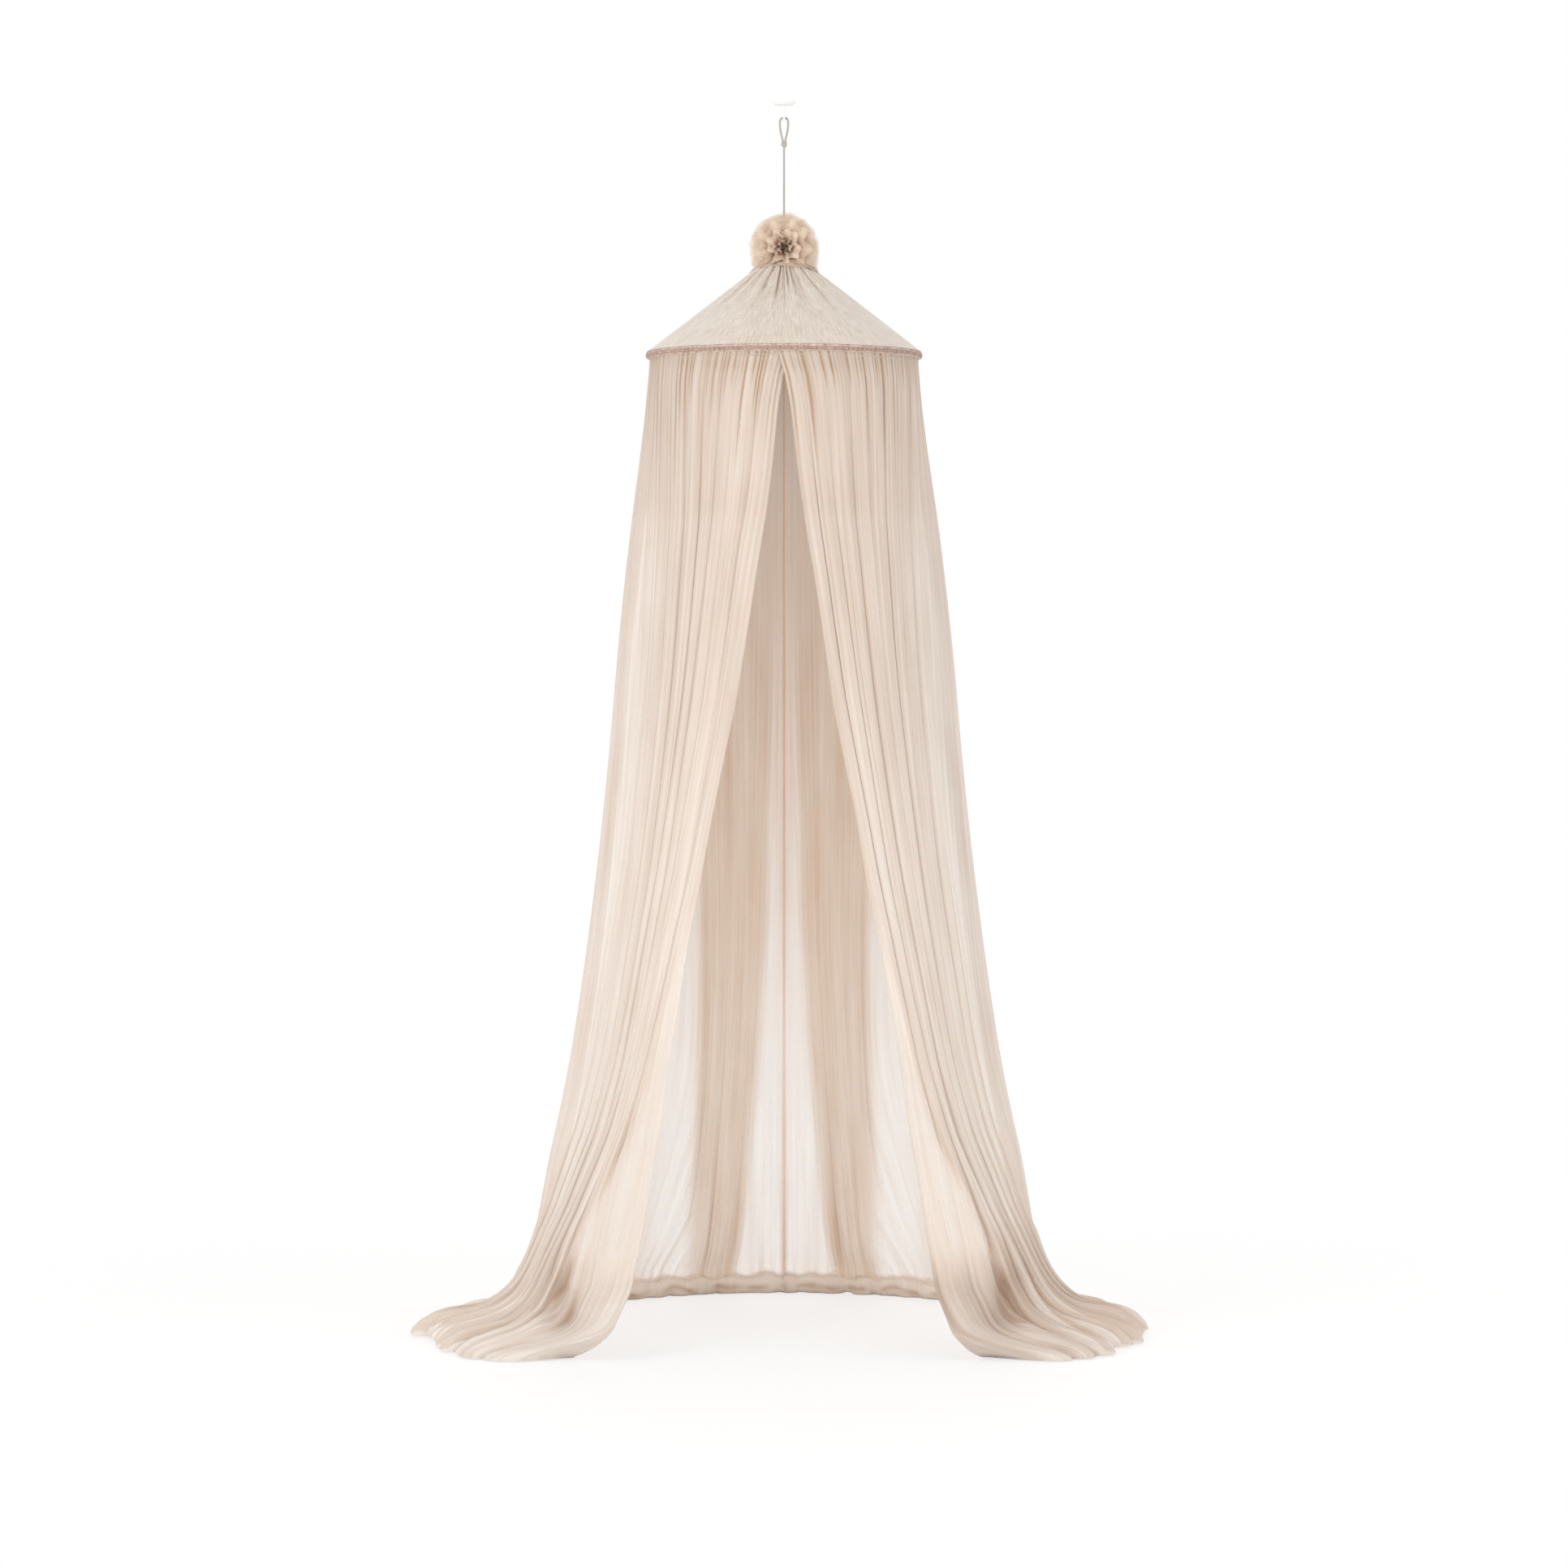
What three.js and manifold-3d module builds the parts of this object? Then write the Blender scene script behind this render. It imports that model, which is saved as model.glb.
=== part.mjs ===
// A hanging bed canopy: a pleated tulle tent under a small cone crown on a hoop, hung by a cord from a hook.
// Millimetres, +Z up. The origin is the middle of the ceiling plate's top face, so the rest has a negative z.
// Heights are above the floor. Plan angles run from the front (-Y) towards the right (+X), in degrees.
import * as THREE from "three";
import { mergeVertices } from "three/addons/utils/BufferGeometryUtils.js";
import Module from "manifold-3d";

const wasm = await Module();
wasm.setup();

// Driving dimensions
const ceilingToFloor = 2470;
const hoopRadius = 268;
const hoopHeight = 1963;
const coneRise = 196;
const pompomRadius = 70;
const sideTrainRadius = 742;
const frontTrainRadius = 655;
const curtainFootRadius = 531;
const backFootRadius = 575;

// Clearances
const gap = 0.3;
const slidingGap = 0.8;
const overrun = 5;

// Ceiling plate and hook
const plateRadius = 24;
const plateThickness = 7;
const plateEdgeHeight = 3;
const plateChamfer = 5;
const screwHoleRadius = 2.1;
const screwHeadRadius = 4.2;
const screwHoleOffset = 16;
const socketDepth = 4;
const hookWireRadius = 2;
const hookBowlRadius = 11;
const hookNeckDrop = 4;
const hookShoulderDrop = 15;

// Cord and knots
const cordRadius = 2.2;
const loopLength = 43;
const loopBulge = 7.5;
const knotRadius = 6;
const knotLength = 11;
const stopperRadius = 8;
const stopperLength = 12;

// Hoop, sleeve and casing
const hoopWireRadius = 4;
const hoopSlit = 1.5;
const sleeveGap = 0.9;
const sleeveWall = 0.6;
const sleeveLength = 40;
const casingSlack = 1.3;
const casingWall = 1.2;
const lipDrop = 5.6;
const lipWall = 1.5;
const lipHalfSlit = 0.4;

// Crown cloth, lining, tapes and washer
const coverThickness = 1.6;
const coverPleatDepth = 2.6;
const neckRadius = 15;
const neckLength = 14;
const liningGap = 0.3;
const liningThickness = 1;
const liningSetback = 5;
const washerDrop = 14;
const washerThickness = 3;
const tapeWidth = 10;
const tapeThickness = 0.8;
const tapeGap = 0.3;
const tapeHeadClearance = 3;
const tapeFootClearance = 4;

// Neck binding, pompom core and pompom
const bindingWall = 1.5;
const bindingInset = 2;
const coreRadius = 9;
const coreTopInset = 8;
const pompomRise = 12;
const ruffleDepth = 5;

// Heading tape, curtain cloth and folds
const headingTapeWidth = 25;
const headingTapeThickness = 1.5;
const clothThickness = 2;
const curtainTopInset = 6;
const layerOffset = 4;
const frontLapOffset = 9;
const topFoldDepth = 6;
const footFoldDepth = 30;
const lapFoldDepth = 6;
const sideFlareHeight = 32;
const frontFlareHeight = 28;
const rearEdgeReach = 580;
const backFlare = 14;
const backFlareHeight = 30;
const backSeamGap = 0.6;
const hemRollRadius = 21;
const hemRollLump = 2.5;

// Counts
const roundSegments = 48;
const tubeSides = 8;
const knotSteps = 5;
const hookBowlSteps = 11;
const hookSteps = 36;
const loopTurnSteps = 6;
const loopSteps = 34;
const straightSteps = 8;
const drapeSamples = 80;
const casingArcSteps = 8;
const flapFolds = 9;
const flapRows = 14;
const backFolds = 6;
const backRows = 11;
const coverPleats = 16;
const coverRows = 5;
const samplesPerFold = 4;
const tapeCount = 4;
const hemRollLumps = 6;
const hemRollSteps = 24;
const pompomRuffles = 7;
const pompomTiers = 4;

// Angles in degrees
const fullTurn = 360;
const backAngle = 180;
const hookBowlAngle = 205;
const knotHalfAngle = 60;
const flapRearAngle = 110;
const flapRearFadeAngle = 88;
const trainSideAngle = 90;
const trainFrontAngle = 45;
const frontLapAngle = 14;
const frontLapFadeAngle = 26;
const backFrontAngle = 95;
const shallowFoldAngle = 85;
const shallowFoldFullAngle = 100;
const lapEndAngle = 127;
const backFullAngle = 150;
const hemRollStartAngle = 130;
const hemLiftFromAngle = 127;
const hemLiftToAngle = 137;

// Shares: how far a shape has gone along the size that it follows
const shoulderShare = 0.42;
const shoulderBulgeShare = 0.55;
const loopBulgeShares = [0.7, 0.8];
const loopHeightShares = [0.35, 0.7];
const drapeBellyShare = 0.44;
const drapeBellyPower = 3.5;
const foldDepthPower = 0.7;
const rowBunchPower = 1.8;
const pleatFadePower = 1.5;
const neckBendPower = 12;
const frontLapHeightShares = [0.8, 0.88];
const hemRollEndShare = 0.4;

// How far the front edge of each flap has swung open, by its height as a share of the curtain's own height
const openingHeightShares = [
  0, 0.012, 0.03, 0.07, 0.18, 0.3, 0.42, 0.48, 0.535, 0.585, 0.66, 0.71, 0.78, 0.83, 0.88, 0.95, 0.985, 1,
];
const openingAngles = [
  43, 40, 37.5, 35, 34.8, 33, 29.5, 26.3, 23.8, 21, 16.5, 14.2, 10.8, 8, 5.5, 2.6, 0, -3,
];

const toRadians = Math.PI / 180;
const lerp = (a, b, t) => a + (b - a) * t;
const clamp01 = (t) => Math.min(1, Math.max(0, t));
const smooth = (from, to, x) => {
  const t = clamp01((x - from) / (to - from));
  return t * t * (3 - 2 * t);
};
const wave = (turns) => (1 + Math.cos(2 * Math.PI * turns)) / 2;
const zOf = (height) => height - ceilingToFloor;

function tableValue(xs, ys, x) {
  for (let i = 1; i < xs.length; i++)
    if (x <= xs[i]) return lerp(ys[i - 1], ys[i], clamp01((x - xs[i - 1]) / (xs[i] - xs[i - 1])));
  return ys[ys.length - 1];
}

// A point at a plan angle, a distance from the axis and a height above the floor
function place(angle, radius, height) {
  const a = angle * toRadians;
  return new THREE.Vector3(radius * Math.sin(a), -radius * Math.cos(a), zOf(height));
}

// Materials
const cloth = (color, roughness) =>
  new THREE.MeshStandardMaterial({ color, roughness, metalness: 0, side: THREE.DoubleSide });
const tulle = cloth(0xe6d3c4, 0.9);
const crownCloth = cloth(0xe9ddd0, 0.85);
const liningCloth = cloth(0xefe6da, 0.9);
const casingCloth = cloth(0xe0cbbb, 0.85);
const pompomTulle = cloth(0xdcc3ad, 0.9);
const cordCotton = cloth(0xcfc4ba, 0.8);
const tapeCotton = cloth(0xede4d8, 0.9);
const whiteEnamel = new THREE.MeshStandardMaterial({ color: 0xf4f3f0, roughness: 0.35, metalness: 0 });
const hoopSteel = new THREE.MeshStandardMaterial({ color: 0xb9b9b6, roughness: 0.4, metalness: 0.9 });
const sleeveSteel = new THREE.MeshStandardMaterial({ color: 0xa5a5a2, roughness: 0.35, metalness: 0.9 });
const beech = new THREE.MeshStandardMaterial({ color: 0xd9b98c, roughness: 0.6, metalness: 0 });

// Solids and booleans
function facesOut(geometry) {
  const p = geometry.getAttribute("position");
  const index = geometry.index.array;
  const [a, b, c] = [new THREE.Vector3(), new THREE.Vector3(), new THREE.Vector3()];
  let volume = 0;
  for (let i = 0; i < index.length; i += 3) {
    a.fromBufferAttribute(p, index[i]);
    b.fromBufferAttribute(p, index[i + 1]);
    c.fromBufferAttribute(p, index[i + 2]);
    volume += a.dot(b.cross(c));
  }
  if (volume < 0)
    for (let i = 0; i < index.length; i += 3) [index[i + 1], index[i + 2]] = [index[i + 2], index[i + 1]];
  return geometry;
}

function closed(geometry) {
  const bare = new THREE.BufferGeometry().setAttribute("position", geometry.getAttribute("position"));
  if (geometry.index) bare.setIndex(geometry.index);
  return facesOut(mergeVertices(bare, 1e-3));
}

function solidOf(geometry) {
  const g = closed(geometry);
  const vertProperties = new Float32Array(g.getAttribute("position").array);
  const triVerts = new Uint32Array(g.index.array);
  return new wasm.Manifold(new wasm.Mesh({ numProp: 3, vertProperties, triVerts }));
}

function geometryOf(solid) {
  const m = solid.getMesh();
  const g = new THREE.BufferGeometry();
  g.setAttribute("position", new THREE.BufferAttribute(new Float32Array(m.vertProperties), 3));
  g.setIndex(new THREE.BufferAttribute(new Uint32Array(m.triVerts), 1));
  return g;
}

// A profile of [radius, z] pairs turned about the Z axis
function turned(profile, segments = roundSegments) {
  const points = profile.map(([radius, z]) => new THREE.Vector2(radius, z));
  return closed(new THREE.LatheGeometry(points, segments).rotateX(Math.PI / 2));
}

// A section swept along a path. A full circle is drawn with twice as many sides as its curve segments.
function swept(section, path, steps) {
  const options = { extrudePath: path, steps, curveSegments: tubeSides / 2, bevelEnabled: false };
  return closed(new THREE.ExtrudeGeometry(section, options));
}

function roundTube(path, radius, steps) {
  return swept(new THREE.Shape().absarc(0, 0, radius, 0, 2 * Math.PI), path, steps);
}

function rod(radius, bottom, top, segments = roundSegments / 3) {
  return turned([[0, bottom], [radius, bottom], [radius, top], [0, top]], segments);
}

function ringOf(innerRadius, outerRadius, bottom, top, segments = roundSegments / 2) {
  const profile = [[innerRadius, bottom], [outerRadius, bottom], [outerRadius, top], [innerRadius, top]];
  return turned([...profile, profile[0]], segments);
}

// A barrel-shaped knot between two heights
function knot(radius, bottom, top) {
  const middle = (bottom + top) / 2;
  const half = (top - bottom) / 2;
  const profile = [[0, bottom]];
  for (let i = 0; i <= knotSteps; i++) {
    const a = lerp(-knotHalfAngle, knotHalfAngle, i / knotSteps) * toRadians;
    profile.push([radius * Math.cos(a), middle + (half * Math.sin(a)) / Math.sin(knotHalfAngle * toRadians)]);
  }
  profile.push([0, top]);
  return turned(profile, roundSegments / 5);
}

class LevelArc extends THREE.Curve {
  constructor(radius, height, fromAngle, toAngle) {
    super();
    Object.assign(this, { radius, height, fromAngle, toAngle });
  }
  getPoint(t, target = new THREE.Vector3()) {
    return target.copy(place(lerp(this.fromAngle, this.toAngle, t), this.radius, this.height));
  }
}

// A sheet with thickness: at(u, v, face) gives its points, with face -1 on its inner side and +1 on its outer
// side. A wrapped sheet closes on itself in u.
function sheetSolid(columns, rows, at, wrapped = false) {
  const across = wrapped ? columns : columns + 1;
  const positions = [];
  for (const face of [-1, 1])
    for (let j = 0; j <= rows; j++)
      for (let i = 0; i < across; i++) positions.push(...at(i / columns, j / rows, face).toArray());
  const id = (face, i, j) => (face > 0 ? across * (rows + 1) : 0) + j * across + (i % across);
  const triangles = [];
  const quad = (a, b, c, d) => triangles.push(a, b, c, a, c, d);
  for (let j = 0; j < rows; j++)
    for (let i = 0; i < columns; i++) {
      quad(id(1, i, j), id(1, i + 1, j), id(1, i + 1, j + 1), id(1, i, j + 1));
      quad(id(-1, i, j + 1), id(-1, i + 1, j + 1), id(-1, i + 1, j), id(-1, i, j));
    }
  for (let i = 0; i < columns; i++) {
    quad(id(-1, i, 0), id(-1, i + 1, 0), id(1, i + 1, 0), id(1, i, 0));
    quad(id(1, i, rows), id(1, i + 1, rows), id(-1, i + 1, rows), id(-1, i, rows));
  }
  for (let j = 0; j < rows && !wrapped; j++) {
    quad(id(1, 0, j), id(1, 0, j + 1), id(-1, 0, j + 1), id(-1, 0, j));
    quad(id(-1, columns, j), id(-1, columns, j + 1), id(1, columns, j + 1), id(1, columns, j));
  }
  const g = new THREE.BufferGeometry();
  g.setAttribute("position", new THREE.BufferAttribute(new Float32Array(positions), 3));
  g.setIndex(triangles);
  return facesOut(g);
}

const canopy = new THREE.Group();
function addPiece(name, geometry, material, parent = canopy) {
  const mesh = new THREE.Mesh(geometry, material);
  mesh.name = name;
  parent.add(mesh);
  return mesh;
}

// Ceiling plate: a round rose with two countersunk screw holes and a blind socket for the hook's shank
function ceilingPlate() {
  const rose = solidOf(
    turned([
      [0, -plateThickness],
      [plateRadius - plateChamfer, -plateThickness],
      [plateRadius, -plateEdgeHeight],
      [plateRadius, 0],
      [0, 0],
    ]),
  );
  const socketTop = -plateThickness + socketDepth;
  const socket = solidOf(rod(hookWireRadius + gap, -plateThickness - overrun, socketTop));
  const countersink = screwHeadRadius - screwHoleRadius;
  const screw = turned(
    [
      [0, -plateThickness - overrun],
      [screwHeadRadius, -plateThickness - overrun],
      [screwHeadRadius, -plateThickness],
      [screwHoleRadius, -plateThickness + countersink],
      [screwHoleRadius, overrun],
      [0, overrun],
    ],
    roundSegments / 3,
  );
  let cut = rose.subtract(socket);
  for (const side of [-1, 1]) {
    const hole = solidOf(screw.clone().translate(side * screwHoleOffset, 0, 0));
    cut = cut.subtract(hole);
  }
  return geometryOf(cut);
}

// Ceiling hook: a question-mark wire in the YZ plane, with the bottom of its bowl under the plate's centre
const hookNeckZ = -plateThickness - hookNeckDrop;
const bowlCentreZ = hookNeckZ - hookShoulderDrop;
const bowlBottomZ = bowlCentreZ - hookBowlRadius;
function ceilingHook() {
  const points = [
    new THREE.Vector3(0, 0, -plateThickness + socketDepth - gap),
    new THREE.Vector3(0, 0, -plateThickness),
    new THREE.Vector3(0, 0, hookNeckZ),
    new THREE.Vector3(0, hookBowlRadius * shoulderBulgeShare, lerp(hookNeckZ, bowlCentreZ, shoulderShare)),
  ];
  for (let i = 0; i <= hookBowlSteps; i++) {
    const a = -((i / hookBowlSteps) * hookBowlAngle * toRadians);
    const z = bowlCentreZ + hookBowlRadius * Math.sin(a);
    points.push(new THREE.Vector3(0, hookBowlRadius * Math.cos(a), z));
  }
  return roundTube(new THREE.CatmullRomCurve3(points, false, "centripetal"), hookWireRadius, hookSteps);
}

// The cord's loop hangs over the hook's wire in the XZ plane and runs down to its knot
const loopTurnRadius = hookWireRadius + gap + cordRadius;
const knotTopZ = bowlBottomZ - loopLength;
const knotBottomZ = knotTopZ - knotLength;
function cordLoop() {
  const footOffset = cordRadius + gap;
  const right = [
    new THREE.Vector3(footOffset, 0, knotTopZ + gap),
    new THREE.Vector3(footOffset, 0, knotTopZ + gap + cordRadius),
    new THREE.Vector3(
      lerp(footOffset, loopBulge, loopBulgeShares[0]),
      0,
      lerp(knotTopZ, bowlBottomZ, loopHeightShares[0]),
    ),
    new THREE.Vector3(
      lerp(loopTurnRadius, loopBulge, loopBulgeShares[1]),
      0,
      lerp(knotTopZ, bowlBottomZ, loopHeightShares[1]),
    ),
  ];
  const over = [];
  for (let i = 0; i <= loopTurnSteps; i++) {
    const a = (i / loopTurnSteps) * Math.PI;
    const z = bowlBottomZ + loopTurnRadius * Math.sin(a);
    over.push(new THREE.Vector3(loopTurnRadius * Math.cos(a), 0, z));
  }
  const left = right.map((p) => new THREE.Vector3(-p.x, p.y, p.z)).reverse();
  const path = new THREE.CatmullRomCurve3([...right, ...over, ...left], false, "centripetal");
  return roundTube(path, cordRadius, loopSteps);
}

addPiece("ceiling_plate", ceilingPlate(), whiteEnamel);
addPiece("ceiling_hook", ceilingHook(), whiteEnamel);
addPiece("cord_loop", cordLoop(), cordCotton);
addPiece("loop_knot", knot(knotRadius, knotBottomZ, knotTopZ), cordCotton);

// Hoop: one bent wire whose ends meet at the back inside a sleeve
const degreesAlongHoop = (length) => length / hoopRadius / toRadians;
function hoop() {
  const halfSlit = degreesAlongHoop(hoopSlit) / 2;
  const path = new LevelArc(hoopRadius, hoopHeight, backAngle + halfSlit, backAngle + fullTurn - halfSlit);
  return roundTube(path, hoopWireRadius, roundSegments);
}

function hoopSleeve() {
  const inner = hoopWireRadius + sleeveGap;
  const section = new THREE.Shape().absarc(0, 0, inner + sleeveWall, 0, 2 * Math.PI);
  section.holes.push(new THREE.Path().absarc(0, 0, inner, 0, 2 * Math.PI, true));
  const half = degreesAlongHoop(sleeveLength) / 2;
  const path = new LevelArc(hoopRadius, hoopHeight, backAngle - half, backAngle + half);
  return swept(section, path, straightSteps);
}

// Casing: the cloth channel round the hoop, open along its underside between two seam lips
const casingInner = hoopWireRadius + sleeveGap + sleeveWall + casingSlack;
const casingOuter = casingInner + casingWall;
const lipBottomHeight = hoopHeight - casingOuter - lipDrop;
function hoopCasing() {
  const lipOuter = lipHalfSlit + lipWall;
  const arc = (radius, halfOpening) => {
    const start = Math.asin(halfOpening / radius);
    const points = [];
    for (let i = 0; i <= casingArcSteps; i++) {
      const a = -Math.PI / 2 + lerp(start, 2 * Math.PI - start, i / casingArcSteps);
      points.push([hoopRadius + radius * Math.cos(a), zOf(hoopHeight) + radius * Math.sin(a)]);
    }
    return points;
  };
  const lipZ = zOf(lipBottomHeight);
  const profile = [
    [hoopRadius + lipOuter, lipZ],
    ...arc(casingOuter, lipOuter),
    [hoopRadius - lipOuter, lipZ],
    [hoopRadius - lipHalfSlit, lipZ],
    ...arc(casingInner, lipHalfSlit).reverse(),
    [hoopRadius + lipHalfSlit, lipZ],
  ];
  return turned([...profile, profile[0]]);
}

addPiece("hoop", hoop(), hoopSteel);
addPiece("hoop_sleeve", hoopSleeve(), sleeveSteel);
addPiece("hoop_casing", hoopCasing(), casingCloth);

// Crown cone: its middle surface runs from the top of the casing to the neck
const rimHeight = hoopHeight + casingOuter + gap + coverThickness / 2;
const neckHeight = rimHeight + coneRise;
const coneRun = Math.hypot(hoopRadius - neckRadius, coneRise);
const coneOut = coneRise / coneRun;
const coneUp = (hoopRadius - neckRadius) / coneRun;
const coneRadiusAt = (height) => lerp(hoopRadius, neckRadius, (height - rimHeight) / coneRise);

// The cover is gathered into small pleats at the neck that fade out towards the rim
function crownCover() {
  const coneShare = coverRows / (coverRows + 1);
  return sheetSolid(
    coverPleats * samplesPerFold,
    coverRows + 1,
    (u, v, face) => {
      const along = clamp01(v / coneShare);
      const inNeck = clamp01((v - coneShare) / (1 - coneShare));
      const pleat = wave(coverPleats * u) * coverPleatDepth * Math.pow(along, pleatFadePower);
      const outwards = pleat + (face * coverThickness) / 2;
      const normalOut = inNeck > 0 ? 1 : coneOut;
      const normalUp = inNeck > 0 ? 0 : coneUp * (1 - Math.pow(along, neckBendPower));
      const radius = lerp(hoopRadius, neckRadius, along) + outwards * normalOut;
      const height = lerp(rimHeight, neckHeight, along) + outwards * normalUp + inNeck * neckLength;
      return place(fullTurn * u, radius, height);
    },
    true,
  );
}

// The lining and the support tapes lie inside the cone, each a stated distance in from its middle surface
const coneInset = (inset, along) => [
  hoopRadius - inset * coneOut - along * coneUp,
  zOf(rimHeight) - inset * coneUp + along * coneOut,
];
const facetDip = hoopRadius * (1 - Math.cos(Math.PI / roundSegments));
const liningOuterInset = coverThickness / 2 + facetDip + liningGap;
const liningInnerInset = liningOuterInset + liningThickness;
function crownLining() {
  const liningRun = coneRun - liningSetback;
  return turned([
    coneInset(liningInnerInset, liningSetback),
    coneInset(liningOuterInset, liningSetback),
    coneInset(liningOuterInset, liningRun),
    coneInset(liningInnerInset, liningRun),
    coneInset(liningInnerInset, liningSetback),
  ]);
}

addPiece("crown_cover", crownCover(), crownCloth);
addPiece("crown_lining", crownLining(), liningCloth);

// Washer: the wooden disc that spreads the cord's pull into the neck of the cloth
const washerBottomHeight = neckHeight - washerDrop;
const washerTopHeight = washerBottomHeight + washerThickness;
const washerRadius = coneRadiusAt(washerTopHeight) - (liningInnerInset + gap) / coneOut;
addPiece(
  "apex_washer",
  ringOf(cordRadius + slidingGap, washerRadius, zOf(washerBottomHeight), zOf(washerTopHeight)),
  beech,
);

// The cord runs down through the pompom and the neck to a stopper knot under the washer
const cordBottomZ = zOf(washerBottomHeight);
const cordPath = new THREE.LineCurve3(
  new THREE.Vector3(0, 0, knotBottomZ - gap),
  new THREE.Vector3(0, 0, cordBottomZ),
);
const stopperTopZ = cordBottomZ - gap;
addPiece("hanging_cord", roundTube(cordPath, cordRadius, straightSteps), cordCotton);
addPiece("stopper_knot", knot(stopperRadius, stopperTopZ - stopperLength, stopperTopZ), cordCotton);

// Support tapes: flat cotton tapes from the washer to the hoop, inside the lining
const tapeInset = liningInnerInset + facetDip + tapeGap + tapeThickness / 2;
const tapeHead = (hoopRadius - washerRadius - tapeInset * coneOut - tapeHeadClearance) / coneUp;
const tapeFoot = liningSetback + tapeFootClearance;
for (let i = 0; i < tapeCount; i++) {
  const holder = new THREE.Group();
  holder.rotation.z = ((i + 1 / 2) / tapeCount) * 2 * Math.PI;
  const [radius, z] = coneInset(tapeInset, (tapeHead + tapeFoot) / 2);
  const strip = addPiece(
    "support_tape_" + (i + 1),
    new THREE.BoxGeometry(tapeHead - tapeFoot, tapeWidth, tapeThickness),
    tapeCotton,
    holder,
  );
  strip.position.set(radius, 0, z);
  strip.rotation.y = Math.atan2(coneOut, coneUp);
  canopy.add(holder);
}

// Neck binding: the tape that ties the gathered neck
const neckOuter = neckRadius + coverPleatDepth + coverThickness / 2;
const neckTopHeight = neckHeight + neckLength;
const bindingInner = neckOuter + gap;
const bindingOuter = bindingInner + bindingWall;
const bindingFootHeight = neckHeight + bindingInset + coverThickness;
addPiece(
  "neck_binding",
  ringOf(bindingInner, bindingOuter, zOf(bindingFootHeight), zOf(neckTopHeight - bindingInset)),
  casingCloth,
);

// Pompom: a tied core on the cord, and round it a ruffled ball of tulle petals that sits on the cone's tip
const pompomHeight = neckHeight + pompomRise;
function pompom() {
  const around = pompomRuffles * samplesPerFold;
  const down = pompomTiers * samplesPerFold;
  const ball = new THREE.SphereGeometry(pompomRadius, around, down).rotateX(Math.PI / 2);
  const p = ball.getAttribute("position");
  const v = new THREE.Vector3();
  for (let i = 0; i < p.count; i++) {
    v.fromBufferAttribute(p, i);
    const turn = Math.atan2(v.y, v.x);
    const level = Math.acos(Math.min(1, Math.max(-1, v.z / pompomRadius)));
    const ruffle = Math.cos(pompomRuffles * turn) * Math.sin(pompomTiers * level) * Math.sin(level);
    v.multiplyScalar(1 - (ruffleDepth * (1 - ruffle)) / 2 / pompomRadius);
    p.setXYZ(i, v.x, v.y, v.z);
  }
  const lowest = pompomHeight - pompomRadius - overrun;
  const coneClearance = coverThickness / 2 + coverPleatDepth + gap;
  const coneFoot = coneRadiusAt(lowest) + coneClearance / coneOut;
  const tipHeight = lowest + (coneFoot * coneOut) / coneUp;
  const cone = turned([[0, zOf(lowest)], [coneFoot, zOf(lowest)], [0, zOf(tipHeight)]]);
  const neck = rod(bindingOuter + gap, zOf(lowest), zOf(neckTopHeight + gap), roundSegments / 2);
  const bore = rod(coreRadius + gap, zOf(lowest), zOf(pompomHeight + pompomRadius + overrun));
  const petals = solidOf(ball.translate(0, 0, zOf(pompomHeight)));
  return geometryOf(petals.subtract(solidOf(cone)).subtract(solidOf(neck)).subtract(solidOf(bore)));
}

addPiece(
  "pompom_core",
  ringOf(
    cordRadius + slidingGap,
    coreRadius,
    zOf(neckTopHeight + gap),
    zOf(pompomHeight + pompomRadius - coreTopInset),
    roundSegments / 3,
  ),
  pompomTulle,
);
addPiece("pompom", pompom(), pompomTulle);

// Heading tape: the flat tape under the casing's lips that the gathered tops of the curtains are sewn to
const curtainTopRadius = hoopRadius - curtainTopInset;
const headingTopHeight = lipBottomHeight - gap;
const headingBottomHeight = headingTopHeight - headingTapeThickness;
addPiece(
  "heading_tape",
  ringOf(
    curtainTopRadius - headingTapeWidth / 2,
    curtainTopRadius + headingTapeWidth / 2,
    zOf(headingBottomHeight),
    zOf(headingTopHeight),
    roundSegments,
  ),
  tapeCotton,
);

// Curtains. Each hangs from under the heading tape, swells out as it falls and flares over the floor.
const curtainTop = headingBottomHeight - gap;
const openingAngleAt = (height) => tableValue(openingHeightShares, openingAngles, height / curtainTop);
const floorLift = clothThickness / 2 + gap;

// A curtain's outline from the foot up: its height and radius at a share of its length, and the direction
// that faces out of the tent. Rows are bunched towards the floor.
function drapeLine(footRadius, flare, flareHeight) {
  const radiusAt = (height) => {
    const fallen = clamp01(1 - height / curtainTop);
    const swell = lerp(fallen, Math.pow(fallen, drapeBellyPower), drapeBellyShare);
    return lerp(curtainTopRadius, footRadius, swell) + flare * Math.exp(-height / flareHeight);
  };
  const heights = [];
  const lengths = [0];
  for (let i = 0; i <= drapeSamples; i++)
    heights.push(lerp(floorLift, curtainTop, Math.pow(i / drapeSamples, 2)));
  for (let i = 1; i <= drapeSamples; i++) {
    const run = radiusAt(heights[i]) - radiusAt(heights[i - 1]);
    lengths.push(lengths[i - 1] + Math.hypot(run, heights[i] - heights[i - 1]));
  }
  return (v) => {
    const height = tableValue(lengths, heights, Math.pow(v, rowBunchPower) * lengths[drapeSamples]);
    const slope = (radiusAt(height + floorLift) - radiusAt(height)) / floorLift;
    const size = Math.hypot(1, slope);
    return { height, radius: radiusAt(height), out: 1 / size, up: -slope / size };
  };
}

// A point of a curtain that stands off its outline by an offset, on one face of its cloth, above its foot
function clothPoint(line, angle, offset, face, foot = gap) {
  const stand = offset + (face * clothThickness) / 2;
  const lowest = foot + ((1 + face) * clothThickness) / 2;
  const height = Math.min(curtainTop, Math.max(line.height + stand * line.up, lowest));
  return place(angle, line.radius + stand * line.out, height);
}

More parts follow.
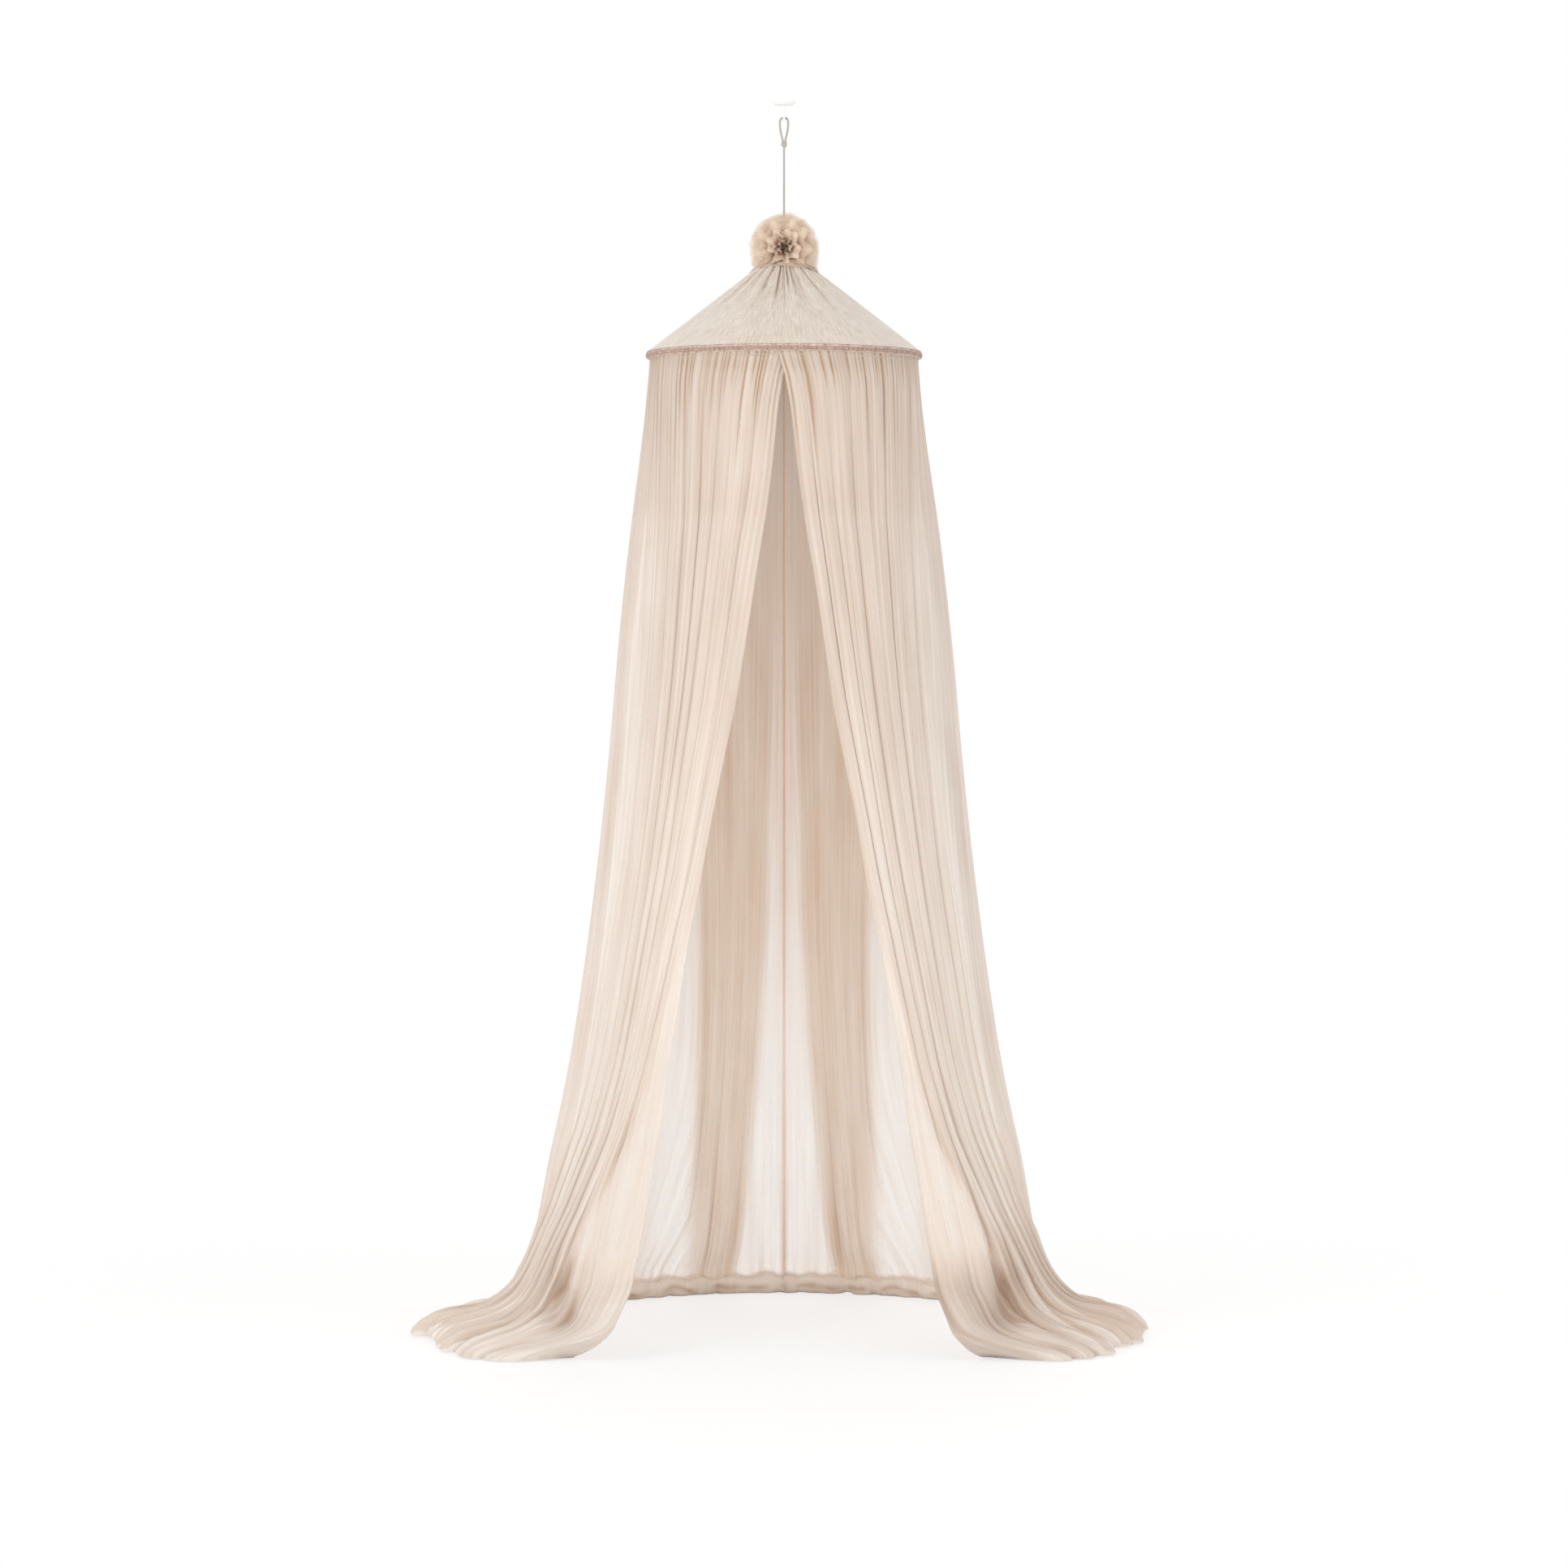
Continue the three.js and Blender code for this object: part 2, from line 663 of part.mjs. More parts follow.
const foldDepthAt = (height) =>
  lerp(footFoldDepth, topFoldDepth, Math.pow(clamp01(height / curtainTop), foldDepthPower));

// One front flap. side is -1 on the left and +1 on the right. Its folds stand outwards, clear of the back.
function frontFlap(side) {
  return sheetSolid(flapFolds * samplesPerFold, flapRows, (u, v, face) => {
    const footAngle = lerp(openingAngles[0], flapRearAngle, u);
    const forward = smooth(trainSideAngle, trainFrontAngle, footAngle);
    const rear = smooth(flapRearFadeAngle, flapRearAngle, footAngle);
    const reach = lerp(lerp(sideTrainRadius, frontTrainRadius, forward), rearEdgeReach, rear);
    const flareHeight = lerp(sideFlareHeight, frontFlareHeight, forward);
    const line = drapeLine(curtainFootRadius, reach - curtainFootRadius, flareHeight)(v);
    const angle = lerp(openingAngleAt(line.height), flapRearAngle, u);
    const nearTop = smooth(...frontLapHeightShares, line.height / curtainTop);
    const lapped = (1 - smooth(frontLapAngle, frontLapFadeAngle, angle)) * nearTop;
    const behind = smooth(shallowFoldAngle, shallowFoldFullAngle, angle);
    const depth = lerp(foldDepthAt(line.height), lapFoldDepth, Math.max(behind, lapped));
    const lapLayer = side > 0 ? layerOffset : -frontLapOffset - layerOffset;
    const layer = lerp(layerOffset, lapLayer, lapped);
    return clothPoint(line, side * angle, layer + depth * wave(flapFolds * u), face);
  });
}
addPiece("left_curtain", frontFlap(-1), tulle);
addPiece("right_curtain", frontFlap(1), tulle);

// Behind the flaps' rear edges the back curtain swells out to its full foot and takes its full folds
const backSeamAngle = backAngle - degreesAlongHoop(backSeamGap) / 2;
const backFullness = (angle) => smooth(lapEndAngle, backFullAngle, angle);
const backFootAt = (angle) => lerp(curtainFootRadius, backFootRadius, backFullness(angle));
const backFoldDepthAt = (angle, height) => lerp(lapFoldDepth, foldDepthAt(height), backFullness(angle));

// The back curtain's hem is bunched into a soft roll on the floor, which swells from a thin front end. The
// cloth above it ends inside it.
const rollRadiusAt = (angle) => hemRollRadius * lerp(hemRollEndShare, 1, backFullness(angle));
const hemLiftAt = (angle) => rollRadiusAt(angle) * smooth(hemLiftFromAngle, hemLiftToAngle, angle);
function rollCentreAt(angle) {
  const flare = backFlare * Math.exp(-rollRadiusAt(angle) / backFlareHeight);
  return backFootAt(angle) + flare - layerOffset - backFoldDepthAt(angle, 0) / 2;
}

function hemRoll(side) {
  const path = new LevelArc(backFootRadius, hemRollRadius, side * hemRollStartAngle, side * backSeamAngle);
  const tube = roundTube(path, hemRollRadius, hemRollSteps);
  const p = tube.getAttribute("position");
  for (let i = 0; i < p.count; i++) {
    const angle = Math.abs(Math.atan2(p.getX(i), -p.getY(i))) / toRadians;
    const along = (angle - hemRollStartAngle) / (backSeamAngle - hemRollStartAngle);
    const size = rollRadiusAt(angle) / hemRollRadius;
    const across = Math.hypot(p.getX(i), p.getY(i)) - backFootRadius;
    const radius = rollCentreAt(angle) + across * size + hemRollLump * wave(hemRollLumps * along);
    const height = gap + rollRadiusAt(angle) + (p.getZ(i) - zOf(hemRollRadius)) * size;
    p.setXYZ(i, ...place(side * angle, radius, height).toArray());
  }
  return tube;
}

// One half of the back curtain. Its folds stand inwards, clear of the flap that laps over its front edge.
function backCurtain(side) {
  const sheet = sheetSolid(backFolds * samplesPerFold, backRows, (u, v, face) => {
    const angle = lerp(backFrontAngle, backSeamAngle, u);
    const line = drapeLine(backFootAt(angle), backFlare, backFlareHeight)(v);
    const offset = -layerOffset - backFoldDepthAt(angle, line.height) * wave(backFolds * u);
    return clothPoint(line, side * angle, offset, face, gap + hemLiftAt(angle));
  });
  return geometryOf(solidOf(sheet).add(solidOf(hemRoll(side))));
}
addPiece("back_curtain_left", backCurtain(-1), tulle);
addPiece("back_curtain_right", backCurtain(1), tulle);

export default canopy;
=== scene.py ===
# %% [markdown]
# # A bed crown canopy
# The real object is a tulle tent that hangs over a child's bed: one cord, a ruffled pompom, a gathered cone
# on a hoop, and long curtains that part at the front and trail over the floor. The CAD solids give each
# piece's place and size. This lesson builds every soft piece again with its own folds, and gives the hard
# ones a finish. Lengths are in metres, +Z is up and the ceiling plate's top face is at zero.

# %% Load the CAD frame
import math

import bmesh
import bpy
import numpy as np
from mathutils import Matrix, Vector


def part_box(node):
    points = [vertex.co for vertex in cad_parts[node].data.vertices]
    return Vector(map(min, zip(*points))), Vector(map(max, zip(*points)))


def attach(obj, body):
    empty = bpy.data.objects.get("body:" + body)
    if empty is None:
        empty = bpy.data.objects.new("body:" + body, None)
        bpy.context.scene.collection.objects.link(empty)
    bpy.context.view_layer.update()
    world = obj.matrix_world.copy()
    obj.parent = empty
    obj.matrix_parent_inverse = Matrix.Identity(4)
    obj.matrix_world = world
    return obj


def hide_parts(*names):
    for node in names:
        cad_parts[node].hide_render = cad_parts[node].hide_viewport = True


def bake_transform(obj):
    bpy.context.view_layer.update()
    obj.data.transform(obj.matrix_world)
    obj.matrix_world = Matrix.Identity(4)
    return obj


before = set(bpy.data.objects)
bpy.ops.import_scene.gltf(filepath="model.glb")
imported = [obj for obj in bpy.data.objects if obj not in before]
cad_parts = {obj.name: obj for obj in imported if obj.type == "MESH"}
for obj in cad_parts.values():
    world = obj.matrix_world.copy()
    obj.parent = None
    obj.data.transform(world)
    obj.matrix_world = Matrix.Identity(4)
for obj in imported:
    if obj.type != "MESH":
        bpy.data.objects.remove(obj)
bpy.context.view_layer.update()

# %% [markdown]
# The picture was taken from about nine metres away with a long lens. A far camera keeps the hoop's ellipse
# flat, so its place matters more than its zoom. These numbers fit the hoop, the cone and the floor line.

# %% Camera
scene = bpy.context.scene
lens = bpy.data.cameras.new("photo_camera")
lens.lens = 103.55
lens.sensor_width = 36
lens.clip_end = 200
camera = bpy.data.objects.new("photo_camera", lens)
camera.location = (0, -9.056, -1.101)
camera.rotation_euler = (math.radians(90 - 1.673), 0, 0)
scene.collection.objects.link(camera)
scene.camera = camera
scene.view_settings.view_transform = "Standard"
print("camera stands", -camera.location.y, "m in front")

# %% [markdown]
# The sizes are those of the CAD source. Heights are above the floor, and plan angles run from the front
# towards the right, so a curtain can be written as an angle, a radius and a height.

# %% Sizes shared with the CAD source
ceiling_height = 2.47
hoop_radius = 0.268
hoop_height = 1.963
curtain_top = 1.9473
curtain_radius = 0.262
rim_height = 1.9721
neck_height = 2.1681
neck_top = 2.1821
neck_radius = 0.015
pompom_height = 2.1801
front_foot = 0.531
back_foot = 0.575


def place(angle, radius, height):
    """Points at plan angles in degrees, distances from the axis and heights above the floor."""
    turn = np.radians(angle)
    return np.stack([radius * np.sin(turn), -radius * np.cos(turn), height - ceiling_height + 0 * turn], -1)


def smooth(start, end, x):
    """An S-shaped step from 0 at start to 1 at end."""
    t = np.clip((x - start) / (end - start), 0, 1)
    return t * t * (3 - 2 * t)


def bell(x, middle, width):
    """A bump of height 1 that dies away on both sides of its middle."""
    return np.exp(-(((x - middle) / width) ** 2))


def rounded(x):
    """A quarter circle's rise from 0 at 0 to 1 at 1."""
    return np.sqrt(1 - (1 - np.clip(x, 0, 1)) ** 2)


def mix(a, b, t):
    return a + (b - a) * t


def ripple(seed, x, lowest, highest):
    """A smooth random line between -1 and 1 along x, made of a few seeded sine waves."""
    chance = np.random.default_rng(seed)
    total = 0
    for _ in range(6):
        total = total + np.sin(2 * np.pi * (chance.uniform(lowest, highest) * x + chance.random()))
    return total / 4.5


# %% [markdown]
# Shader maths reads best as plain arithmetic. This small class wraps a socket that carries a number, so
# `1 - mask` adds the Math node for it. Wiring is a node tree, and its `node` method adds any node. A Finish
# is one material's wiring: `blend_colours` mixes two colours, because a Math node would turn a colour grey.

# %% A small kit for finishes
class Number:
    """A shader socket that carries a number."""

    def __init__(self, wiring, socket):
        self.wiring, self.socket = wiring, socket

    def math(self, operation, *values):
        made = self.wiring.node("ShaderNodeMath", dict(enumerate(values)), operation=operation)
        return Number(self.wiring, made.outputs[0])

    def __add__(self, other):
        return self.math("ADD", self, other)

    def __mul__(self, other):
        return self.math("MULTIPLY", self, other)

    def __sub__(self, other):
        return self.math("SUBTRACT", self, other)

    def __rsub__(self, other):
        return self.math("SUBTRACT", other, self)

    def __pow__(self, other):
        return self.math("POWER", self, other)

    def sine(self):
        return self.math("SINE", self)

    def size(self):
        return self.math("ABSOLUTE", self)

    def larger(self, other):
        return self.math("MAXIMUM", self, other)

    def clipped(self):
        return self.math("MINIMUM", self.larger(0.0), 1.0)


class Wiring:
    """A node tree, and the one way to add a node to it."""

    def __init__(self, tree):
        self.tree = tree

    def fill(self, node, values):
        for key, value in values.items():
            socket = node.inputs[key]
            if isinstance(value, Number):
                value = value.socket
            if isinstance(value, bpy.types.NodeSocket):
                self.tree.links.new(value, socket)
            else:
                socket.default_value = value

    def node(self, kind, values=None, **settings):
        made = self.tree.nodes.new(kind)
        for key, value in settings.items():
            setattr(made, key, value)
        self.fill(made, values or {})
        return made

    def number(self, node, output=0):
        return Number(self, node.outputs[output])


class Finish(Wiring):
    """A material, and the nodes that feed its shader."""

    def __init__(self, name, roughness, **constants):
        self.material = bpy.data.materials.new(name)
        self.material.use_nodes = True
        super().__init__(self.material.node_tree)
        self.shader = self.tree.nodes["Principled BSDF"]
        self.set(Roughness=roughness, **constants)

    def set(self, **values):
        self.fill(self.shader, {key.replace("_", " "): value for key, value in values.items()})

    def blend_colours(self, factor, first, second):
        return self.node("ShaderNodeMix", {0: factor, 6: first, 7: second}, data_type="RGBA").outputs[2]

    def coordinates(self, source):
        """A point and its three coordinates: "Object" in metres, or "UV" in metres of cloth."""
        point = self.node("ShaderNodeTexCoord").outputs[source]
        split = self.node("ShaderNodeSeparateXYZ", {0: point})
        return point, [self.number(split, i) for i in range(3)]

    def noise(self, point, scale, detail=2.0, stretch=(1, 1, 1)):
        moved = self.node("ShaderNodeMapping", {"Vector": point, "Scale": stretch}).outputs[0]
        settings = {"Vector": moved, "Scale": scale, "Detail": detail}
        return self.number(self.node("ShaderNodeTexNoise", settings))

    def attribute(self, name):
        return self.number(self.node("ShaderNodeAttribute", attribute_name=name), 2)

    def bump(self, height, distance, strength=1.0):
        settings = {"Height": height, "Distance": distance, "Strength": strength}
        self.set(Normal=self.node("ShaderNodeBump", settings).outputs[0])


def colour(red, green, blue):
    """A colour as a picture gives it, 0 to 255, made linear for a shader."""
    parts = [c / 255 for c in (red, green, blue)]
    return (*[c / 12.92 if c <= 0.04045 else ((c + 0.055) / 1.055) ** 2.4 for c in parts], 1.0)


# %% [markdown]
# Every piece ends as an object at the origin, with its place in its mesh. `finished` also turns its shading
# smooth, hides the CAD nodes it stands for and hangs it on the body it rides on.

# %% Helpers that finish a piece
def put_down(name, bm, finish):
    mesh = bpy.data.meshes.new(name)
    bm.to_mesh(mesh)
    bm.free()
    mesh.materials.append(finish.material)
    piece = bpy.data.objects.new(name, mesh)
    scene.collection.objects.link(piece)
    return piece


def finished(name, bm, finish, body=None, replaces=()):
    piece = put_down(name, bm, finish)
    piece.data.shade_smooth()
    if replaces:
        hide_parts(*replaces)
    if body:
        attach(piece, body)
    print(name, len(piece.data.polygons), "faces")
    return piece


def vertices_of(bm):
    return np.array([v.co for v in bm.verts])


def move_vertices(bm, points):
    for v, point in zip(bm.verts, points):
        v.co = point


def face_outward(bm):
    bmesh.ops.recalc_face_normals(bm, faces=bm.faces)


def close_ends(bm):
    bmesh.ops.holes_fill(bm, edges=[e for e in bm.edges if e.is_boundary])
    face_outward(bm)


# %% [markdown]
# The canopy hangs on one twisted cotton cord. It leaves the washer inside the cone, runs up through the
# pompom, and ends in a loop over the hook with a wound knot. A rope's section has three lobes and turns as
# it goes, so a spin with a rise makes it, and its rings are then laid along the path.

# %% The cord's path and the bending helper
def read_off(line, run, at):
    return np.stack([np.interp(at, run, line[:, k]) for k in range(3)], 1)


def through(points, count):
    """A smooth line of count points through a few, as a Catmull-Rom curve, and its length."""
    p = np.array(points, float)
    p = np.vstack([2 * p[0] - p[1], p, 2 * p[-1] - p[-2]])
    at = np.linspace(0, len(points) - 1, count * 4)
    i = np.minimum(at.astype(int), len(points) - 2)
    t = (at - i)[:, None]
    a, b, c, d = p[i], p[i + 1], p[i + 2], p[i + 3]
    line = 0.5 * (2 * b + (c - a) * t + (2 * a - 5 * b + 4 * c - d) * t**2 + (3 * b - a - 3 * c + d) * t**3)
    run = np.concatenate([[0], np.cumsum(np.linalg.norm(np.diff(line, axis=0), axis=1))])
    return read_off(line, run, np.linspace(0, run[-1], count)), run[-1]


def laid_along(bm, line, length):
    """Bends a straight piece that stands on z = 0 along a line, with its rings square to it."""
    ahead = np.gradient(line, axis=0)
    ahead /= np.linalg.norm(ahead, axis=1)[:, None]
    side = np.zeros_like(line)
    side[0] = np.cross(ahead[0], (0, 1, 0.001))
    for i in range(len(line)):
        last = side[max(i - 1, 0)]
        side[i] = last - ahead[i] * (last @ ahead[i])
        side[i] /= np.linalg.norm(side[i])
    up = np.cross(ahead, side)
    p = vertices_of(bm)
    at = np.clip(p[:, 2] / length, 0, 1) * (len(line) - 1)
    middle, side, up = [read_off(values, np.arange(len(line)), at) for values in (line, side, up)]
    move_vertices(bm, middle + p[:, :1] * side + p[:, 1:2] * up)


def spun(bm, angle, rise, steps, closed=False):
    """Spins every edge about the axis by an angle, while it moves up by the rise."""
    turn = {"cent": (0, 0, 0), "axis": (0, 0, 1), "angle": angle, "steps": steps, "use_merge": closed}
    bmesh.ops.spin(bm, geom=bm.edges[:], dvec=(0, 0, rise / steps), **turn)


def swept(line, length, radius, sides, steps, lobes=0.0, twists=1e-4):
    """A rod or a three-strand rope along a line, closed at both ends."""
    bm = bmesh.new()
    ring = bmesh.ops.create_circle(bm, segments=sides, radius=radius)["verts"]
    for v in ring:
        v.co *= 1 - lobes * (1 - abs(math.cos(1.5 * math.atan2(v.co.y, v.co.x))))
    spun(bm, twists * 2 * math.pi, length, steps)
    laid_along(bm, line, length)
    close_ends(bm)
    return bm


# %% Cord finish
cord_finish = Finish("twisted_cotton", 0.85, Sheen_Weight=0.25, Sheen_Roughness=0.6)
point, _ = cord_finish.coordinates("Object")
fibres = cord_finish.noise(point, 900, 3.0)
soil = cord_finish.noise(point, 60)
shade = (fibres * 0.7 + soil * 0.5 - 0.1).clipped()
cord_finish.set(Base_Color=cord_finish.blend_colours(shade, colour(150, 144, 140), colour(198, 191, 186)))
cord_finish.bump(fibres, 0.0004)

# %% Cord, with its loop over the hook
cord_radius = 0.0022
twist_length = 0.013
knot_top, knot_bottom, cord_foot = -0.08, -0.091, -0.3159
hook_bottom = -0.037
loop_half = [
    (0.0025, 0, knot_top + 0.001),
    (0.0034, 0, knot_top + 0.006),
    (0.006, 0, knot_top + 0.016),
    (0.0079, 0, knot_top + 0.028),
    (0.0082, 0, hook_bottom - 0.003),
    (0.0062, 0, hook_bottom + 0.0018),
    (0.0032, 0, hook_bottom + 0.0041),
]
route = [(0, 0, z) for z in np.linspace(cord_foot, knot_bottom, 12)]
route += [(0.0008, 0, knot_bottom + 0.004), (0.002, 0, knot_bottom + 0.008)]
route += loop_half + [(0, 0, hook_bottom + 0.0047)] + [(-a, b, c) for a, b, c in reversed(loop_half)]
route += [(-0.0018, 0, knot_top - 0.004)]
cord_line, cord_length = through(route, 300)
rope = swept(cord_line, cord_length, cord_radius, 18, 420, 0.14, cord_length / twist_length)
cord = finished("cotton_cord", rope, cord_finish, "cord", ("hanging_cord", "cord_loop"))
print("cord length", round(cord_length, 3), "m")

# %% [markdown]
# Both knots are barrel knots: the cord's own end wound round itself. A small circle that spins about the
# axis while it drops makes the turns, and squeezing the ends gives the barrel.

# %% Knots
def barrel_knot(name, top, bottom, outer, turns, node):
    wire = cord_radius * 0.92
    bm = bmesh.new()
    start = Matrix.Translation((outer - wire, 0, top - wire)) @ Matrix.Rotation(math.pi / 2, 4, "X")
    bmesh.ops.create_circle(bm, segments=12, radius=wire, matrix=start)
    spun(bm, turns * 2 * math.pi, bottom - top + 2 * wire, int(turns * 28))
    p = vertices_of(bm)
    from_middle = np.abs(p[:, 2] - (top + bottom) / 2) / ((top - bottom) / 2)
    p[:, :2] *= (1 - 0.16 * from_middle**2)[:, None]
    move_vertices(bm, p)
    close_ends(bm)
    return finished(name, bm, cord_finish, "cord", (node,))


loop_knot = barrel_knot("loop_knot_turns", knot_top, knot_bottom, 0.006, 3.2, "loop_knot")
stop_top, stop_bottom = cord_foot - 0.0003, cord_foot - 0.0123
stopper_knot = barrel_knot("stopper_knot_turns", stop_top, stop_bottom, 0.0078, 3.4, "stopper_knot")

# %% [markdown]
# The ceiling hook is a bent wire under a small round rose. Both are white enamelled steel, fairly glossy,
# with the faint ripple of a thick coat.

# %% Enamel, and the hook's smooth wire
enamel = Finish("white_enamel", 0.32, Coat_Weight=0.3)
point, _ = enamel.coordinates("Object")
ripples = enamel.noise(point, 220, 1.0)
enamel.set(
    Base_Color=enamel.blend_colours(ripples, colour(240, 239, 236), colour(247, 246, 244)),
    Roughness=ripples * 0.12 + 0.26,
)
enamel.bump(ripples, 0.0002, 0.4)
hook_bend, bend_centre = 0.011, -0.026
hook_points = [(0, 0, -0.0033), (0, 0, -0.007), (0, 0, -0.011), (0, 0.00605, -0.0173)]
for turn in np.radians(np.linspace(0, -205, 12)):
    hook_points.append((0, hook_bend * math.cos(turn), bend_centre + hook_bend * math.sin(turn)))
hook_line, hook_length = through(hook_points, 120)
hook_rod = swept(hook_line, hook_length, 0.002, 20, 120)
finished("hook_wire", hook_rod, enamel, "ceiling_fitting", ("ceiling_hook",))

# %% [markdown]
# Inside the crown a steel hoop holds the cloth open, and a beech washer spreads the cord's pull. These and
# the hook's rose are hard, and their solids have the right shape, so they only get a finish.

# %% Steel and beech
steel = Finish("hoop_steel", 0.35, Metallic=1.0)
point, _ = steel.coordinates("Object")
drawn = steel.noise(point, 40, 2.0, (1, 1, 12))
steel.set(
    Base_Color=steel.blend_colours(drawn, colour(158, 158, 156), colour(196, 196, 193)),
    Roughness=drawn * 0.25 + 0.25,
)
beech = Finish("beech", 0.55)
point, (x, _, _) = beech.coordinates("Object")
rings = ((x * 900 + beech.noise(point, 30) * 9).sine() * 0.5 + 0.5) ** 2.0
flecks = beech.noise(point, 400, 2.0, (1, 8, 1))
grain = (rings * 0.5 + flecks * 0.4).clipped()
beech.set(
    Base_Color=beech.blend_colours(grain, colour(222, 190, 148), colour(186, 146, 104)),
    Roughness=flecks * 0.2 + 0.45,
)
beech.bump(rings, 0.0002, 0.5)
solids = {"ceiling_plate": enamel, "hoop": steel, "hoop_sleeve": steel, "apex_washer": beech}
for name, finish in solids.items():
    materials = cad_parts[name].data.materials
    materials.clear()
    materials.append(finish.material)

# %% [markdown]
# The crown, its casing and the tapes are thin cotton. Woven cloth needs a fine weave in the bump, slow
# changes of tone, and painted shade in its creases where it is gathered. Each piece stores on its points how
# much painted shade it gets, and its UV map is in metres of cloth, so the weave has its true size.

# %% Woven cloth
def woven(name, pale, dark, thread, weave_depth=0.0002):
    cloth = Finish(name, 0.9, Sheen_Weight=0.2, Sheen_Roughness=0.5)
    point, (u, v, _) = cloth.coordinates("UV")
    turns = 2 * math.pi / thread
    weave = ((u * turns).sine() * (v * turns).sine()).size()
    slubs = cloth.noise(point, 60, 2.0, (6, 0.7, 1))
    threads = cloth.noise(point, 300, 1.0, (0.05, 1, 1))
    blots = cloth.noise(point, 22, 3.0)
    # Painted shade from the stored value, with slubs, threads and blots as the cloth's own tone.
    shade = cloth.attribute("painted_shade_and_tone") * 0.85 + (slubs - 0.5) * 0.9
    shade = (shade + (threads - 0.5) * 0.2 + (blots - 0.5) * 0.3 + 0.08).clipped()
    cloth.set(Base_Color=cloth.blend_colours(shade, pale, dark))
    cloth.bump(weave * 0.6 + slubs * 0.4, weave_depth, 0.6)
    return cloth


crown_cloth = woven("crown_voile", colour(234, 224, 213), colour(150, 122, 98), 0.0008)
casing_cloth = woven("casing_voile", colour(220, 203, 190), colour(172, 140, 122), 0.0008)
seam_and_shade_cloth = woven("casing_seam_and_shade", colour(184, 154, 141), colour(112, 82, 68), 0.0008)
lining_cloth = woven("lining_lawn", colour(238, 230, 219), colour(212, 198, 182), 0.0006)
tape_cloth = woven("cotton_tape", colour(206, 194, 182), colour(172, 156, 138), 0.0012, 0.0004)


# %% A grid of cloth that a function then shapes
def unwrap(bm, flat_place):
    """Gives each corner its place on the flat cloth, in metres."""
    layer = bm.loops.layers.uv.new("cloth")
    for face in bm.faces:
        for loop in face.loops:
            loop[layer].uv = flat_place(loop.vert.co)


def cloth_grid(columns, rows, width, length):
    """A flat grid with its UV map in metres. Returns it with each vertex's share across and along."""
    bm = bmesh.new()
    bmesh.ops.create_grid(bm, x_segments=columns, y_segments=rows, size=0.5)
    unwrap(bm, lambda q: ((q.x + 0.5) * width, (q.y + 0.5) * length))
    p = vertices_of(bm)
    return bm, p[:, 0] + 0.5, p[:, 1] + 0.5


def store(bm, name, values):
    layer = bm.verts.layers.float.new(name)
    for v, value in zip(bm.verts, np.broadcast_to(values, len(bm.verts))):
        v[layer] = float(value)


# %% [markdown]
# Gathered cloth makes rounded ridges with narrow valleys between them. No two valleys are alike, so each
# gets its own depth from a seeded list, and a second number that says how far it runs.

# %% Gathers
def valleys(phase, seed, sharpness):
    """A valley at each whole number of the phase: how deep it is here, and the valley's own luck."""
    chance = np.random.default_rng(seed)
    depth, luck = chance.uniform(0.15, 1.0, 500), chance.random(500)
    nearest = np.round(phase).astype(int) % 500
    return depth[nearest] * (1 - np.abs(np.sin(np.pi * phase)) ** sharpness), luck[nearest]


# %% [markdown]
# The cone is one piece of voile, gathered tight at the neck and smooth at the hoop. Gathers start sharp and
# fine, and each runs out at its own distance, so two sets of seeded valleys with different reach are added.

# %% Crown cone
cone_drop, cone_spread = neck_height - rim_height, hoop_radius - neck_radius
cone_slope = cone_drop / cone_spread
cone_run = math.hypot(cone_spread, cone_drop)
neck_starts = 0.95
over_casing = 0.009


def crown_cone(name, inset, depth, columns, rows, finish, node, wrap):
    """A gathered cone that lies inset from the outline. The wrap is the share that folds over the casing."""
    out, up = cone_drop / cone_run, cone_spread / cone_run
    bm, u, v = cloth_grid(columns, rows, 2 * math.pi * hoop_radius, cone_run)
    along = np.clip((v - wrap) / (neck_starts - wrap), 0, 1) ** 0.8
    in_neck = np.clip((v - neck_starts) / (1 - neck_starts), 0, 1)
    turn = 2 * np.pi * u
    fine, luck = valleys(52 * u + 0.25 * np.sin(3 * turn + 1) + 0.2 * np.sin(7 * turn), 5, 0.75)
    middle, chance = valleys(21 * u + 0.3 * np.sin(2 * turn + 2), 6, 0.7)
    fine = fine * smooth(0.16 + 0.42 * luck, 0.74, along)
    middle = middle * smooth(0.04 + 0.36 * chance, 0.72, along)
    facing = 0.35 + 0.65 * np.cos(turn) ** 2
    radius = mix(hoop_radius, neck_radius, along)
    depth = depth * facing * np.clip(radius / 0.07, 0.25, 1)
    sway = 0.0012 * np.sin(9 * turn + 2 * np.sin(2 * turn)) * np.sin(np.pi * along) ** 0.6
    stand = sway - depth * (0.9 * fine + 1.3 * middle) - inset + 0.0016
    radius = radius + stand * mix(out, 1, in_neck)
    height = mix(rim_height, neck_height, along) + stand * up * (1 - in_neck)
    height = height + in_neck * (neck_top - neck_height)
    if wrap:
        fall = np.radians(52) * np.clip(1 - v / wrap, 0, 1)
        radius = np.where(v < wrap, hoop_radius + over_casing * np.sin(fall), radius)
        height = np.where(v < wrap, hoop_height + 0.0003 + over_casing * np.cos(fall), height)
    # Painted shade in the gathers, darker at front and back; the sides are left paler as painted light.
    store(bm, "painted_shade_and_tone", np.clip((0.8 * fine + 0.5 * middle) * facing + 0.22 * np.cos(turn) ** 2, 0, 1))
    move_vertices(bm, place(360 * u, radius, height))
    bmesh.ops.remove_doubles(bm, verts=bm.verts, dist=1e-6)
    face_outward(bm)
    return finished(name, bm, finish, "crown", (node,))


cone = crown_cone("crown_cone", 0, 0.008, 840, 80, crown_cloth, "crown_cover", 0.05)
lining = crown_cone(
    "crown_inner_cone", 0.0058, 0.0012, 240, 24, lining_cloth, "crown_lining", 0
)
